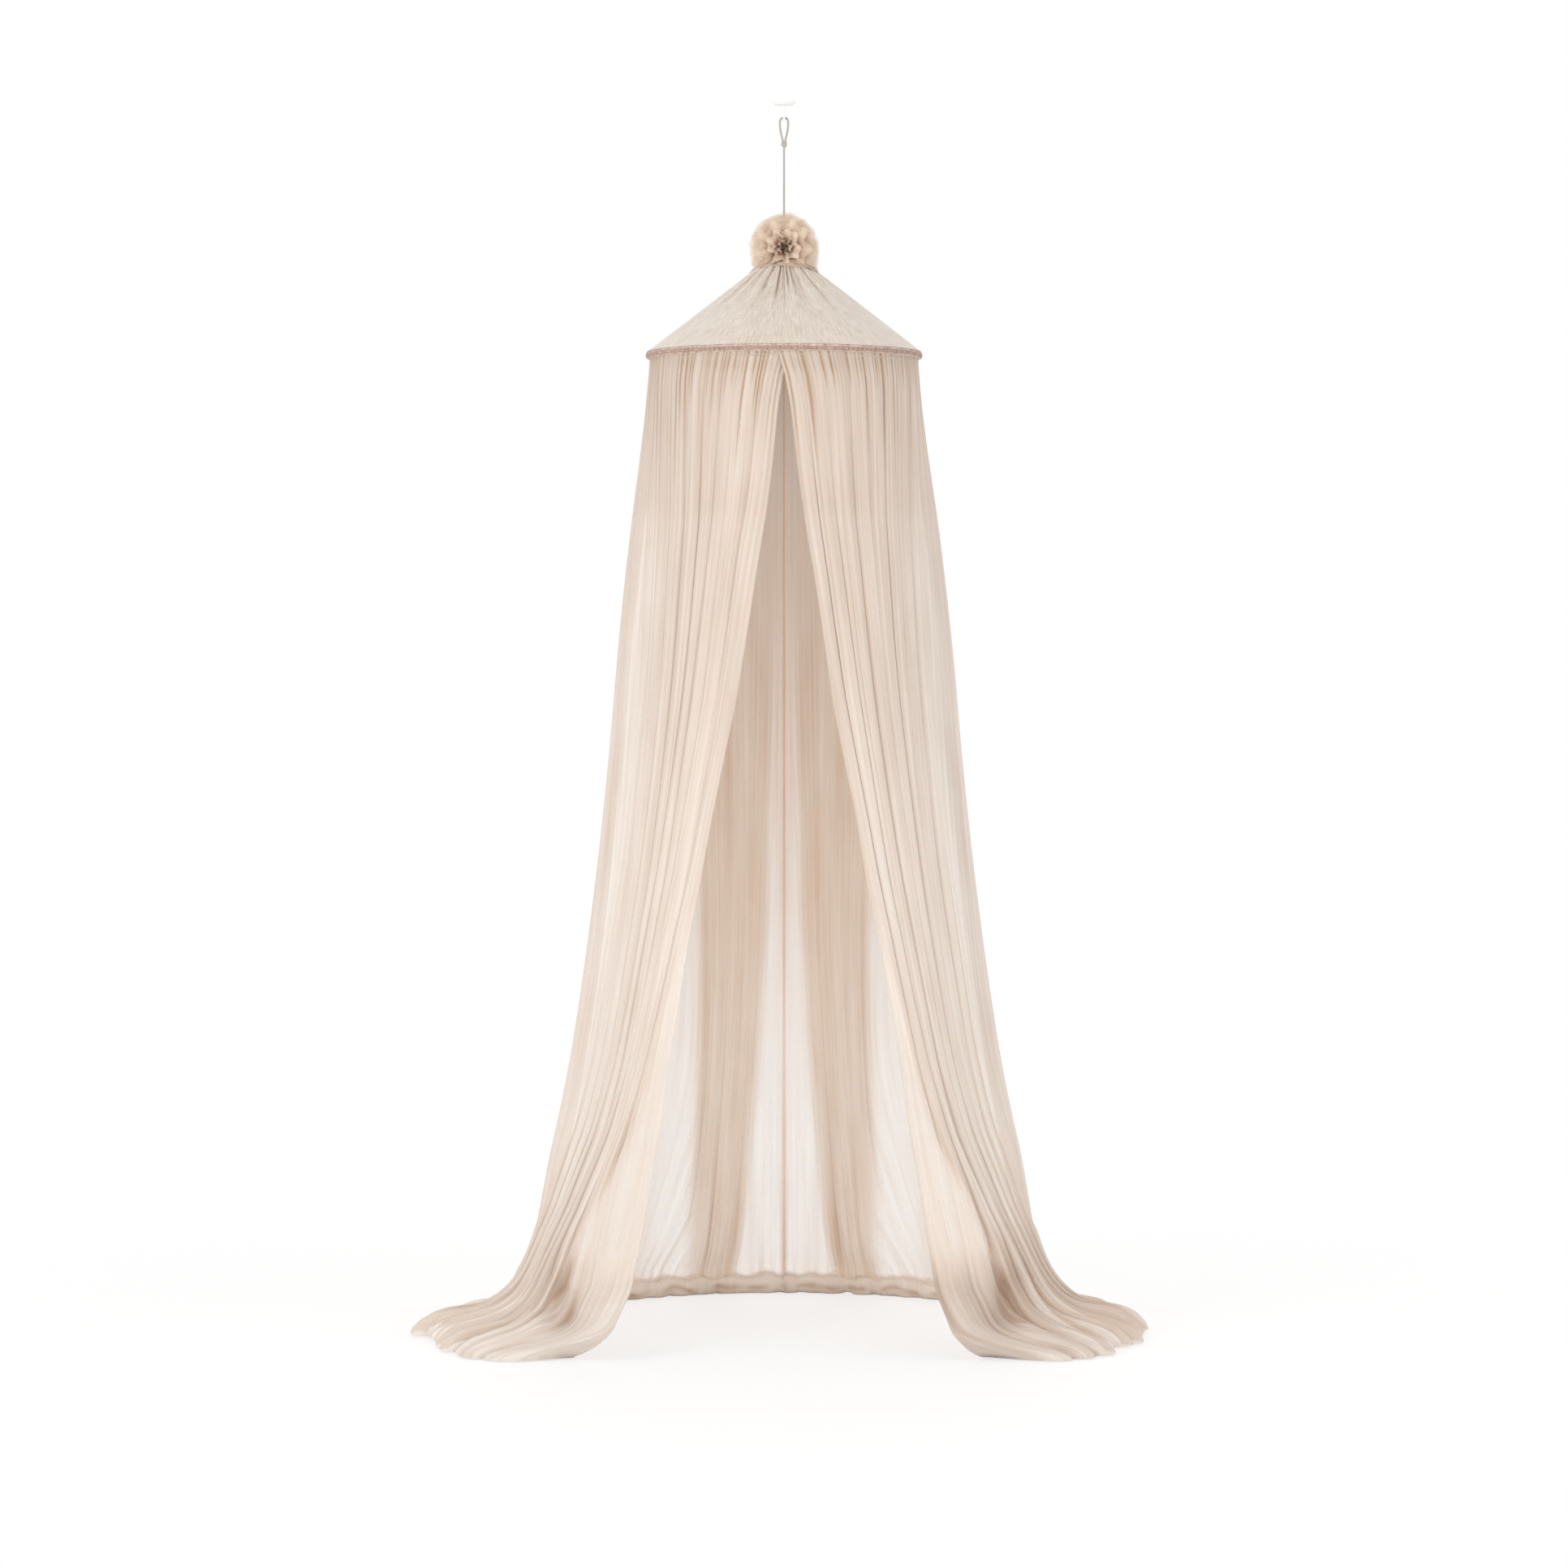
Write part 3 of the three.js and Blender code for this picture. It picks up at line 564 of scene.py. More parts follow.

# %% [markdown]
# The casing is a channel of cloth sewn round the hoop. It looks like a soft piping with small puckers where
# the needle pulls, darkened with painted shade, and a seam of darker, doubled cloth closes it underneath,
# its colour also painted shade of the casing's underside. A full spin of the profile makes such a ring.

# %% Hoop casing and its seam, with painted shade under it
def ring_strip(name, profile, steps, finish, node, pucker, seed, closed=False):
    """A strip or tube of cloth round the axis, from a profile of radius and height pairs."""
    bm = bmesh.new()
    corners = [bm.verts.new((radius, 0, height - ceiling_height)) for radius, height in profile]
    for a, b in zip(corners, corners[1:] + corners[:1] * closed):
        bm.edges.new((a, b))
    spun(bm, 2 * math.pi, 0, steps, True)
    face_outward(bm)
    if sum(f.normal.dot(f.calc_center_median() * Vector((1, 1, 0))) for f in bm.faces) < 0:
        bmesh.ops.reverse_faces(bm, faces=bm.faces)
    p = vertices_of(bm)
    turn = np.arctan2(p[:, 0], -p[:, 1])
    middle_radius, middle_height = np.mean(profile, axis=0)
    rise = p[:, 2] + ceiling_height - middle_height
    across = np.arctan2(rise, np.hypot(p[:, 0], p[:, 1]) - middle_radius)
    wrinkle = np.sin(130 * turn + 6.0 * np.sin(5 * turn + seed) + across)
    wrinkle = wrinkle + 0.9 * np.sin(47 * turn + 5 * np.sin(3 * turn + seed) - 2 * across)
    away = np.stack([np.sin(turn) * np.cos(across), -np.cos(turn) * np.cos(across), np.sin(across)], 1)
    tuck, _ = valleys(np.degrees(turn) / 1.9 + np.sin(5 * turn), seed, 0.8)
    # Painted shade in the tucks and puckers.
    store(bm, "painted_shade_and_tone", np.clip(tuck * 0.9 - wrinkle * 0.15, 0, 1) * (pucker > 0))
    move_vertices(bm, p + away * (wrinkle * pucker)[:, None])
    unwrap(bm, lambda q: (math.atan2(q.x, -q.y) * hoop_radius, q.z))
    return finished(name, bm, finish, "crown", (node,) if node else ())


def round_hoop(radius, turns):
    """The profile of a ring at this distance from the hoop's wire."""
    return [(hoop_radius + radius * math.cos(a), hoop_height + radius * math.sin(a)) for a in turns]


tube = round_hoop(0.0079, np.linspace(0, 2 * math.pi, 18, endpoint=False))
casing = ring_strip("casing_piping", tube, 420, casing_cloth, "hoop_casing", 0.0004, 1, True)
# The seam strip is darker doubled cloth, its colour also painted shade under the casing.
seam = round_hoop(0.0088, np.radians([14, 0, -14, -28, -42]))
seam_and_shade_strip = ring_strip("casing_seam_and_shade", seam, 480, seam_and_shade_cloth, None, 0.0006, 3)
heading = [(0.25, 1.9478), (0.27, 1.9478), (0.27, 1.949), (0.25, 1.949)]
band = ring_strip("heading_band", heading, 240, tape_cloth, "heading_tape", 0.0, 1, True)

# %% [markdown]
# Under the lining four flat tapes run from the washer to the hoop and carry the weight. A wrapped tape ties
# the gathered neck.

# %% Support tapes and neck binding
tape_starts, tape_ends, tape_width = 0.03, 0.2555, 0.01
for number in range(1, 5):
    node = f"support_tape_{number}"
    low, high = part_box(node)
    facing = math.radians(45 + 90 * (number - 1))
    bm, u, v = cloth_grid(6, 60, tape_width, tape_ends - tape_starts)
    radius = mix(tape_starts, tape_ends, v)
    height = mix(high.z - 0.0006, low.z + 0.0006, v) - 0.0006 * np.sin(np.pi * v)
    across = (u - 0.5) * 0.98 * tape_width
    x = radius * math.cos(facing) - across * math.sin(facing)
    y = radius * math.sin(facing) + across * math.cos(facing)
    store(bm, "painted_shade_and_tone", 0.5 * (np.abs(u - 0.5) > 0.4) + 0.5 * (np.minimum(v, 1 - v) < 0.03))
    move_vertices(bm, np.stack([x, y, height], -1))
    bmesh.ops.solidify(bm, geom=bm.faces[:], thickness=0.0007)
    face_outward(bm)
    finished(f"webbing_{number}", bm, tape_cloth, "crown", (node,))

turns_of_tape = zip(np.linspace(0, 3, 9), np.linspace(2.172, 2.18, 9))
binding = [(0.019 + 0.0009 * math.sin(a * 9), h) for a, h in turns_of_tape]
neck_wrap = ring_strip("neck_wrap", binding, 72, casing_cloth, "neck_binding", 0.0003, 1)

# %% [markdown]
# The net is tulle. A single layer is half see-through, and where it is gathered many layers lie over
# each other and it turns solid, its colour warmed and darkened with painted shade. Each curtain therefore
# stores a "cover" value: how much of the light its net stops there. The finish turns that into alpha, with
# fine strands and a very fine mesh. A second pair of colours adds painted warm light, for the tent's inside.

# %% Tulle finish
def tulle(name, cool, painted_warm_light=None, strand=260.0, streaks=1.2, relief=0.0018, sheen=0.15):
    """Net with a pale and a dark colour for painted shade, and a second pair of painted warm light."""
    net = Finish(name, 0.92, Sheen_Weight=sheen, Sheen_Roughness=0.6)
    point, (u, v, _) = net.coordinates("UV")
    turns = 2 * math.pi / 0.0016
    mesh = ((u * turns).sine() * ((u * 0.5 + v * 0.866) * turns).sine()).size()
    strands = net.noise(point, strand, 1.0, (1, 0.012, 1))
    cords = net.noise(point, strand / 2.4, 1.0, (1, 0.016, 1))
    drift = net.noise(point, 14.0, 3.0, (1, 0.35, 1))
    painted_shade_and_tone = net.attribute("painted_shade_and_tone")
    cover = net.attribute("cover")
    lines = strands * 0.45 + cords * 0.55
    # Painted shade from the stored value, with strands and drift as the net's own tone.
    shade = (painted_shade_and_tone * 0.85 + (lines - 0.5) * streaks + (drift - 0.5) * 0.6 + 0.14).clipped()
    tone = net.blend_colours(shade, *cool)
    if painted_warm_light:
        tone = net.blend_colours(net.attribute("painted_warm_light"), tone, net.blend_colours(shade, *painted_warm_light))
    holes = (lines - 0.5) * (1.05 - cover) * 0.7 + (mesh - 0.4) * (1 - cover) * 0.2
    net.set(Base_Color=tone, Alpha=(cover + holes).clipped())
    net.bump(lines, relief, 0.5)
    return net


# The second pair is painted warm light, for light inside the tent and through thin net.
cool_net = (colour(221, 210, 200), colour(160, 131, 108))
painted_warm_light_colours = (colour(250, 235, 220), colour(217, 178, 140))
curtain_net = tulle("tulle", cool_net, painted_warm_light_colours)
petal_net = (colour(234, 215, 195), colour(160, 110, 67))
pompom_net = tulle("pompom_tulle", petal_net, None, 90.0, 0.7, 0.0008, 0.04)
roll_net = tulle("bunched_tulle", (colour(254, 245, 235), colour(204, 174, 148)), None, 120.0, 0.35)

# %% [markdown]
# The pompom is a stack of net sheets tied across the middle and teased apart, like a paper flower: its
# layers open as rings of petals about the tie, which points to the front. Petals near the tie are short and
# leave a hollow, darkened with painted shade, and the middle ones stand out wide. One petal is a small
# grid that follows a cone about the tie. Where it would sink into the crown, it lies on it in lobes.

# %% Pompom heart and petals
core = [(0.003, 2.1826), (0.008, 2.183), (0.0088, 2.19)]
core += [(0.0072, 2.215), (0.0086, 2.24), (0.003, 2.2418)]
pompom_heart = ring_strip("pompom_heart", core, 36, pompom_net, "pompom_core", 0.0, 1)
# The heart gets full cover and full painted shade, so it shows the dark colour deep in the hollow.
heart_cover = pompom_heart.data.attributes.new("cover", "FLOAT", "POINT")
for values in (heart_cover, pompom_heart.data.attributes["painted_shade_and_tone"]):
    values.data.foreach_set("value", np.ones(len(values.data), np.float32))

ball_height = pompom_height - 0.003
heart_radius = 0.0225
painted_hollow_shade_reach = 0.048
front_lobe, side_lobe = 0.034, 0.07


def petal(ball, polar, turn, reach, width, seed):
    """Adds one petal to the ball, at an angle off the tie and a turn round it."""
    chance = np.random.default_rng(seed)
    bm, u, v = cloth_grid(14, 9, 0.07, 0.07)
    across = 2 * u - 1
    swing = turn + across * width * mix(0.45, 1.0, v) / max(math.sin(polar), 0.3)
    fold = np.sin(9 * swing + 1.7 * polar + 1.2 * chance.random())
    wave = 0.1 * v**1.2 * fold + 0.06 * v**2 * np.sin(2 * np.pi * (2.6 * u + chance.random()))
    edge = 1 - 0.13 * across**2 - 0.04 * np.abs(np.sin(np.pi * (3.5 * u + chance.random())))
    r = mix(0.008, reach * (0.95 + 0.07 * chance.random()), v**0.85) * mix(1, edge, v)
    curl = 0.2 * v * across**2 * (1 if polar < math.pi / 2 else -1)
    lean = polar * mix(0.55, 1.04, v**1.4) + wave - curl
    up = r * np.sin(lean) * np.sin(swing)
    fuller = 1 + 0.16 * np.clip(-up / 0.05, 0, 1) ** 2
    sideways, ahead = r * np.sin(lean) * np.cos(swing) * fuller, -r * np.cos(lean) * fuller
    frill = np.abs(np.sin(np.pi * (3.3 * u + chance.random())))
    azimuth = np.arctan2(sideways, -ahead)
    lobe = np.abs(np.sin(6 * azimuth + 0.9 * np.sin(3 * azimuth))) ** 0.6
    lobe = np.maximum(lobe, smooth(0.6, 1.0, np.abs(azimuth)))
    lift = 0.002 + (0.001 + 0.004 * chance.random()) * v * frill**1.5
    base = neck_height - ball_height + neck_radius * cone_slope + lift
    radius = np.hypot(sideways, ahead)
    under = up < base - cone_slope * radius
    far = (1.0 + (0.02 + 0.2 * chance.random()) * v) * r
    steep = 1 + cone_slope**2
    inner = (base * cone_slope + np.sqrt(np.maximum(steep * far**2 - base**2, 0))) / steep
    widest = mix(front_lobe, side_lobe + 0.004 * chance.random(), lobe)
    inner = np.minimum(np.maximum(inner, heart_radius), widest)
    spread = np.where(under, inner / np.maximum(radius, 1e-5), 1)
    up = np.where(under, base - cone_slope * inner, up)
    points = np.stack([sideways * spread, ahead * spread, up + ball_height - ceiling_height], 1)
    # Painted shade deep by the tie, where petals tuck under onto the crown, and at petal edges.
    painted_tuck_shade = under * (0.1 * (1 - frill) + 0.8 * (1 - lobe) * bell(sideways, 0, 0.03))
    painted_shade_and_tone = 1.5 * np.clip(1.0 - r / painted_hollow_shade_reach, 0, 1) + painted_tuck_shade + 0.3 * v * np.abs(across) ** 3
    # Each petal's own random tone, painted shade in its folds and a painted highlight on its tips.
    painted_shade_and_tone = painted_shade_and_tone + 0.2 * chance.random() - 0.22 * fold * np.sqrt(v) - 0.25 * v**8
    # Painted shade a little darker towards the front, and paler outer rims as painted light.
    painted_shade_and_tone = painted_shade_and_tone + 0.04 * max(math.cos(polar), 0) - 0.16 * math.sin(polar) ** 8 * v**2
    store(bm, "painted_shade_and_tone", np.clip(painted_shade_and_tone, 0, 1))
    store(bm, "cover", np.clip(1.0 - 0.8 * v**4 * math.sin(polar) ** 2, 0, 1))
    move_vertices(bm, points)
    part = bpy.data.meshes.new("petal")
    bm.to_mesh(part)
    bm.free()
    ball.from_mesh(part)
    bpy.data.meshes.remove(part)


pompom_bm = bmesh.new()
collars = [(17, 4, 0.05, 0.55), (36, 6, 0.06, 0.55), (55, 8, 0.067, 0.62)]
collars += [(73, 8, 0.072, 0.8), (88, 8, 0.075, 0.8)]
petals = 0
for polar, count, reach, width in collars + [(180 - polar, *rest) for polar, *rest in collars]:
    for i in range(count):
        turn = 2 * math.pi * (i + 0.37 * petals) / count
        petal(pompom_bm, math.radians(polar), turn, reach, width, petals)
        petals += 1
pompom = finished("pompom_petals", pompom_bm, pompom_net, "crown", ("pompom",))
print("petals:", petals, "with", sum(face.area for face in pompom.data.polygons), "square metres of net")

# %% [markdown]
# The curtains hang from the ring, swell out as they fall, and flare over the floor, as their solids do. What
# a solid can't show is how net bunches: drawn folds crowd together and leave thin single layers beside
# them. So each curtain first says how much cloth there is at each angle and height, and the folds are then
# spread by that.

# %% Outline of a hanging curtain
levels = np.linspace(0, 1, 90) ** 1.4
sides = {-1: "left", 1: "right"}


def hanging_radius(height, foot, flare, flare_height):
    fallen = np.clip(1 - height / curtain_top, 0, 1)
    swell = 0.56 * fallen + 0.44 * fallen**3.5
    return curtain_radius + (foot - curtain_radius) * swell + flare * np.exp(-height / flare_height)


def heights_of(share, outline):
    """The height of each vertex that lies at a share of its own column's cloth."""
    fine = curtain_top * np.linspace(0, 1, 260) ** 2.2 + 0.001
    heights = np.empty_like(share)
    for column in set(zip(*outline)):
        mine = np.all([part == value for part, value in zip(outline, column)], axis=0)
        radius = hanging_radius(fine, *column)
        run = np.concatenate([[0], np.cumsum(np.hypot(np.diff(radius), np.diff(fine)))])
        heights[mine] = np.interp(share[mine] * run[-1], run, fine)
    return heights


def hung(u, share, cloth_density, first, last, outline_of):
    """Hangs cloth as bunched as cloth_density(angle, level) says. Returns its outline, heights, plan angles,
    bunching and the angles at its foot."""
    shares = np.unique(np.round(u, 6))
    index = np.searchsorted(shares, np.round(u, 6))
    tables = np.empty((2, len(levels), len(shares)))
    for row, level in enumerate(levels):
        fine = np.linspace(first(level), last, 500)
        density = cloth_density(fine, level)
        amount = np.concatenate([[0], np.cumsum((density[1:] + density[:-1]) / 2)])
        tables[0, row] = np.interp(shares, amount / amount[-1], fine)
        tables[1, row] = np.interp(tables[0, row], fine, density / density.mean())
    foot_angle = tables[0, 0][index]
    outline = outline_of(foot_angle)
    height = heights_of(share, outline)
    row = np.interp(height / curtain_top, levels, np.arange(len(levels)))
    low = np.minimum(row.astype(int), len(levels) - 2)
    angle, bunched = mix(tables[:, low, index], tables[:, low + 1, index], row - low)
    return outline, height, angle, bunched, foot_angle


def off_outline(side, outline, height, angle, stand, sideways=0.0, lowest=0.0012):
    """Points that stand square off the outline, never under the floor, with their top in the casing."""
    radius = hanging_radius(height, *outline)
    slope = (hanging_radius(height + 0.001, *outline) - radius) / 0.001
    size = np.hypot(1, slope)
    sewn = smooth(0.99, 1, height / curtain_top)
    up = np.clip(height - slope * stand / size, lowest, curtain_top + 0.003) + 0.0125 * sewn
    out = mix(radius + stand / size, 0.2662 + 0.3 * stand, sewn)
    return place(side * (angle + np.degrees(sideways / out)), out, up)


# %% [markdown]
# Three sizes of fold hang together: fine gathers that soon die away under the heading, middle folds, and a
# few deep ones that grow towards the floor. Their spacing and depth wander, as even folds look machined.

# %% Folds
def folds(u, level, deep, middle, fine, seed):
    """How far the cloth stands off its outline, how much painted shade it gets, and the deep folds' phase.
    """
    wander = 0.42 * ripple(seed, u, 1, 4)
    phase = deep * u + wander + 0.1 * ripple(seed + 1, u + 0.25 * level, 1, 3)
    big, _ = valleys(phase, seed + 10, 0.6)
    drift = 0.3 * ripple(seed + 2, u + 0.1 * level, 3, 8)
    drift = drift + 0.5 * smooth(0.06, 0, level) * ripple(seed + 5, u, 2, 5)
    mid, luck = valleys(middle * u + 1.3 * wander + drift, seed + 11, 0.75)
    mid = mid * (0.6 + 0.4 * ripple(seed + 4, 7 * luck + 0.8 * level, 0.8, 2))
    small, luck = valleys(fine * u + 0.6 * ripple(seed + 3, u, 8, 16), seed + 12, 0.75)
    small = small * smooth(0.962 - 0.16 * luck**3, 0.996 - 0.02 * luck, level)
    top = smooth(0.8, 1, level)
    low = smooth(0.3, 0.02, level)
    stand = (
        mix(mix(0.008, 0.028, low), 0.0018, top) * (1 - big)
        + mix(mix(0.0022, 0.006, low), 0.0012, top) * (1 - mid) * smooth(0.0, 0.03, level)
        + 0.0026 * (1 - small) * smooth(0.5, 0.8, level)
    )
    # Painted shade in the valleys, broad near the floor; darker above mid height, a little paler under the
    # heading.
    wide = low * (0.75 * (1 - np.abs(np.sin(np.pi * phase))) ** 1.2 - 0.08 + 0.15 * mid**0.5)
    painted_shade_and_tone = 0.42 * big * mix(1, 0.8, top) + mix(0.14, 0.3, low) * mid + 1.3 * small + wide
    painted_shade_and_tone = painted_shade_and_tone + 0.22 * smooth(0.5, 0.76, level) - 0.08 * smooth(0.8, 0.9, level)
    return stand, np.clip(painted_shade_and_tone, 0, 1), phase


# %% A curtain sheet
def curtain(name, columns, rows, width, length, shape):
    """A sheet of net that a function gives its points, painted shade, cover and painted warm light."""
    bm, u, v = cloth_grid(columns, rows, width, length)
    points, *looks = shape(u, v)
    for attribute, values in zip(("painted_shade_and_tone", "cover", "painted_warm_light"), looks):
        store(bm, attribute, values)
    move_vertices(bm, points)
    return finished(name, bm, curtain_net)


# %% [markdown]
# The front flaps start side by side at the middle of the ring and are drawn apart. Beside the opening there
# is a strip of single net, then the bundle of dense folds, then thinner cloth round the side. Tables by
# level say where the opening's edge and the bundle lie.

# %% Where the front flaps bunch
opening_levels = [0, 0.006, 0.012, 0.02, 0.03, 0.07, 0.18, 0.3, 0.42, 0.48]
opening_levels += [0.535, 0.585, 0.66, 0.71, 0.78, 0.83, 0.88, 0.95, 0.985, 1]
opening_angles = [50, 45.5, 42.5, 39.8, 37.6, 35.2, 34.6, 33, 29.5, 26.3]
opening_angles += [23.8, 21, 16.5, 14.2, 10.8, 8, 5.5, 2.6, 0, -3]
bundle_levels = [0, 0.03, 0.07, 0.14, 0.22, 0.29, 0.38, 0.48, 0.59, 0.71, 0.84, 0.95, 1]
bundle_starts = [56, 59, 61, 53.5, 44.5, 39, 34, 28, 22, 15.6, 8.5, 3.5, -2]
bundle_ends = [101, 92, 82, 70, 65, 64, 63, 61, 59, 58, 60, 75, 100]
flap_last = 110.0


def opening_angle(level):
    return np.interp(level, opening_levels, opening_angles)


def bundle_at(level):
    return [np.interp(level, bundle_levels, angles) for angles in (bundle_starts, bundle_ends)]


def flap_density(angle, level):
    start, end = bundle_at(level)
    bundle = smooth(start - 4, start + 2.5, angle) * (1 - smooth(end - 5, end + 8, angle))
    gain = np.interp(level, [0, 0.03, 0.12, 0.3, 0.6, 0.85, 1], [1.6, 2.6, 3.6, 3.2, 1.7, 0.7, 0.0])
    return 1 + gain * bundle


def light_stopped(layers):
    """The cover of so many layers of net."""
    return 1 - np.exp(-0.42 * layers)


# %% [markdown]
# On the floor the bundle fans out into a train. Each deep fold ends in a lobe of its own length, and the
# corner next to the opening is drawn back.

# %% Trains on the floor
side_reach, front_reach, rear_reach = 0.736, 0.655, 0.62
flatter_at, flatter_width = 57, 6


def train(side, u, foot_angle, seed):
    """Each column's foot, how far its train runs past that, and how high it flares."""
    forward, rear = smooth(90, 45, foot_angle), smooth(90, 114, foot_angle)
    lobe = 12 * u + 0.42 * ripple(seed, u, 1, 4)
    tip = np.random.default_rng(seed).uniform(0.006, 0.042, 60)[np.floor(lobe).astype(int)]
    tip = (tip * np.abs(np.sin(np.pi * lobe)) ** 0.7 - 0.02) * (1 - rear)
    reach = mix(mix(side_reach, front_reach, forward), rear_reach, rear) + tip - 0.004 * side
    reach = reach + 0.003 * ripple(seed + 15, u, 14, 30)
    corner = 1 - rounded((foot_angle - 50) / 9)
    reach = reach - 0.16 * corner + (0.034 - 0.008 * side) * smooth(80, 60, foot_angle) - 0.002
    flare_height = mix(0.039 + 0.004 * side, 0.027, forward)
    flare_height = flare_height - 0.01 * bell(foot_angle, flatter_at, flatter_width)
    return np.full_like(u, front_foot), reach - front_foot, flare_height


# %% [markdown]
# One flap laps over the other at the top, and both swell at the side. Just above the floor the net is
# plump, and a hollow with painted shade runs down in front of the bundle. Painted light makes the hem pale.

# %% Front flaps
def flap(side):
    seed = 20 if side < 0 else 40

    def shape(u, v):
        share = v**1.6
        outline, height, angle, bunched, foot_angle = hung(
            u, share, flap_density, opening_angle, flap_last, lambda foot: train(side, u, foot, seed)
        )
        level = height / curtain_top
        start, end = bundle_at(level)
        near_top = smooth(0.8, 0.88, level)
        stand, painted_shade_and_tone, phase = folds(u, level, 12, 31, 54, seed)
        quiet = 0.75 * smooth(1.15, 0.75, bunched) * smooth(0.9, 0.6, level)
        quiet = np.maximum(smooth(85, 100, angle), quiet)
        lapped = (1 - smooth(14, 26, angle)) * near_top * smooth(1.0, 0.98, level)
        layer = mix(0.002, 0.003 if side > 0 else -0.011, lapped)
        swell = (0.019 + 0.003 * side) * smooth(50, 82, angle) * smooth(0.97, 0.65, level)
        lumps = 1 + 0.9 * ripple(seed + 9, u, 4, 11) + 0.4 * ripple(seed + 8, u, 20, 40)
        plump = 1 - 0.6 * bell(foot_angle, flatter_at, flatter_width)
        plump = plump * mix(0.011, 0.017, smooth(66, 84, foot_angle))
        puff = plump * bell(share, 0.03, 0.035) * np.clip(lumps, 0.3, 1.8)
        stand = stand * mix(1, 0.4, quiet) * mix(0.5, 1, smooth(0, 0.12, share))
        stand = layer + swell * smooth(0.04, 0.2, level) + stand + puff
        wide = mix(1.6, 6.0, smooth(0.13, 0.03, level))
        hollow = bell(angle, start - 0.5 * wide, wide) * smooth(0.012, 0.04, level)
        hollow = hollow * mix(0.4, 1.0, smooth(0.16, 0.06, level)) * smooth(0.4, 0.2, level)
        stand = stand * mix(0.12, 1, rounded(share / 0.02)) - 0.016 * hollow
        sideways = 0.004 * ripple(seed + 6, u * 3 + level, 1, 3) * (1 - level)
        sideways = sideways - 0.003 * np.sin(2 * np.pi * phase) * (1 - quiet) * smooth(1.0, 0.8, level)

        cover = light_stopped(bunched * mix(2.2, 3.8, smooth(0.3, 0.95, level)))
        cover = np.maximum(cover, 0.95 * smooth(0.15, 0.06, level) * smooth(72, 60, angle))
        beside = smooth(end - 2, end + 10, angle) * smooth(0.97, 0.8, level) * smooth(0.02, 0.1, level)
        cover = mix(cover, mix(0.9, 0.72, smooth(66, 88, angle)) + 0.08 * side, beside)
        hem = 0.1 * bell(share, 0, 0.004) - 0.1 * bell(share, 0, 0.03)
        cover = np.clip(cover + hem + 0.25 * bell(u, 0, 0.004), 0.2, 0.985)
        # Painted warm light where the net is thin and round the side.
        painted_warm_light = np.clip(np.maximum(1.1 * (1 - cover), 0.75 * smooth(68, 104, angle)), 0, 1)

        # Painted shade: weaker where the net hangs loose, dark in the hollow, and paler at the hem as
        # painted light.
        painted_shade_and_tone = painted_shade_and_tone * mix(0.5, 1.0, smooth(0.8, 2.2, np.maximum(bunched, 3 * near_top)))
        waver = 0.8 + 0.4 * np.sin(2 * np.pi * (31 * u + ripple(seed + 2, u, 2, 5)))
        # Painted shade near the floor, much darker on the right flap, away from the key lamp.
        low = (0.13 + 0.15 * side) * smooth(0.16, 0.06, level)
        painted_shade_and_tone = np.clip(painted_shade_and_tone * mix(1, 0.4, quiet) + 0.8 * hollow * waver + low, 0, 1)
        painted_shade_and_tone = painted_shade_and_tone * mix(0.72, 1, smooth(0.0, 0.07, share)) - 0.14 * bell(share, 0, 0.012)
        points = off_outline(side, outline, height, angle, stand, sideways)
        return points, np.clip(painted_shade_and_tone, 0, 1), cover, painted_warm_light

    name = sides[side]
    piece = curtain(f"{name}_flap_net", 460, 150, 0.88, 2.05, shape)
    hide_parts(f"{name}_curtain")
    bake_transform(piece)


for side in sides:
    flap(side)

# %% [markdown]
# The back is two widths of net that meet in a seam down the middle. High up they are evenly gathered. Lower
# down the gathers fall into two dense bands, with single net between and beside them.

# %% Back curtains
back_first, back_last = 95.0, 179.985
back_flare, back_flare_height = 0.014, 0.03


def behind(angle):
    """0 where a back curtain meets the flap, and 1 where it is fully at the back."""
    return smooth(127, 150, angle)


def back_density(angle, level):
    from_seam = 180 - angle
    inner = np.interp(level, [0, 0.09, 0.27, 0.4, 0.6, 1.0], [12.3, 10.2, 7.4, 6.0, 6.0, 6.6])
    outer = np.interp(level, [0, 0.09, 0.27, 0.45, 0.6, 1.0], [20.0, 22.5, 25.5, 28.0, 31.0, 38.0])
    band = smooth(inner - 1.6, inner + 1.6, from_seam) * (1 - smooth(outer - 3, outer + 3, from_seam))
    beside = smooth(outer + 9, outer + 16, from_seam) * 0.35
    parted = smooth(0.86, 0.2, level)
    return 1 + parted * (2.9 * band + 1.3 * beside) + 1.8 * (1 - parted)


def back_outline(foot_angle):
    foot = mix(front_foot, back_foot, behind(foot_angle))
    return foot, np.full_like(foot, back_flare), np.full_like(foot, back_flare_height)


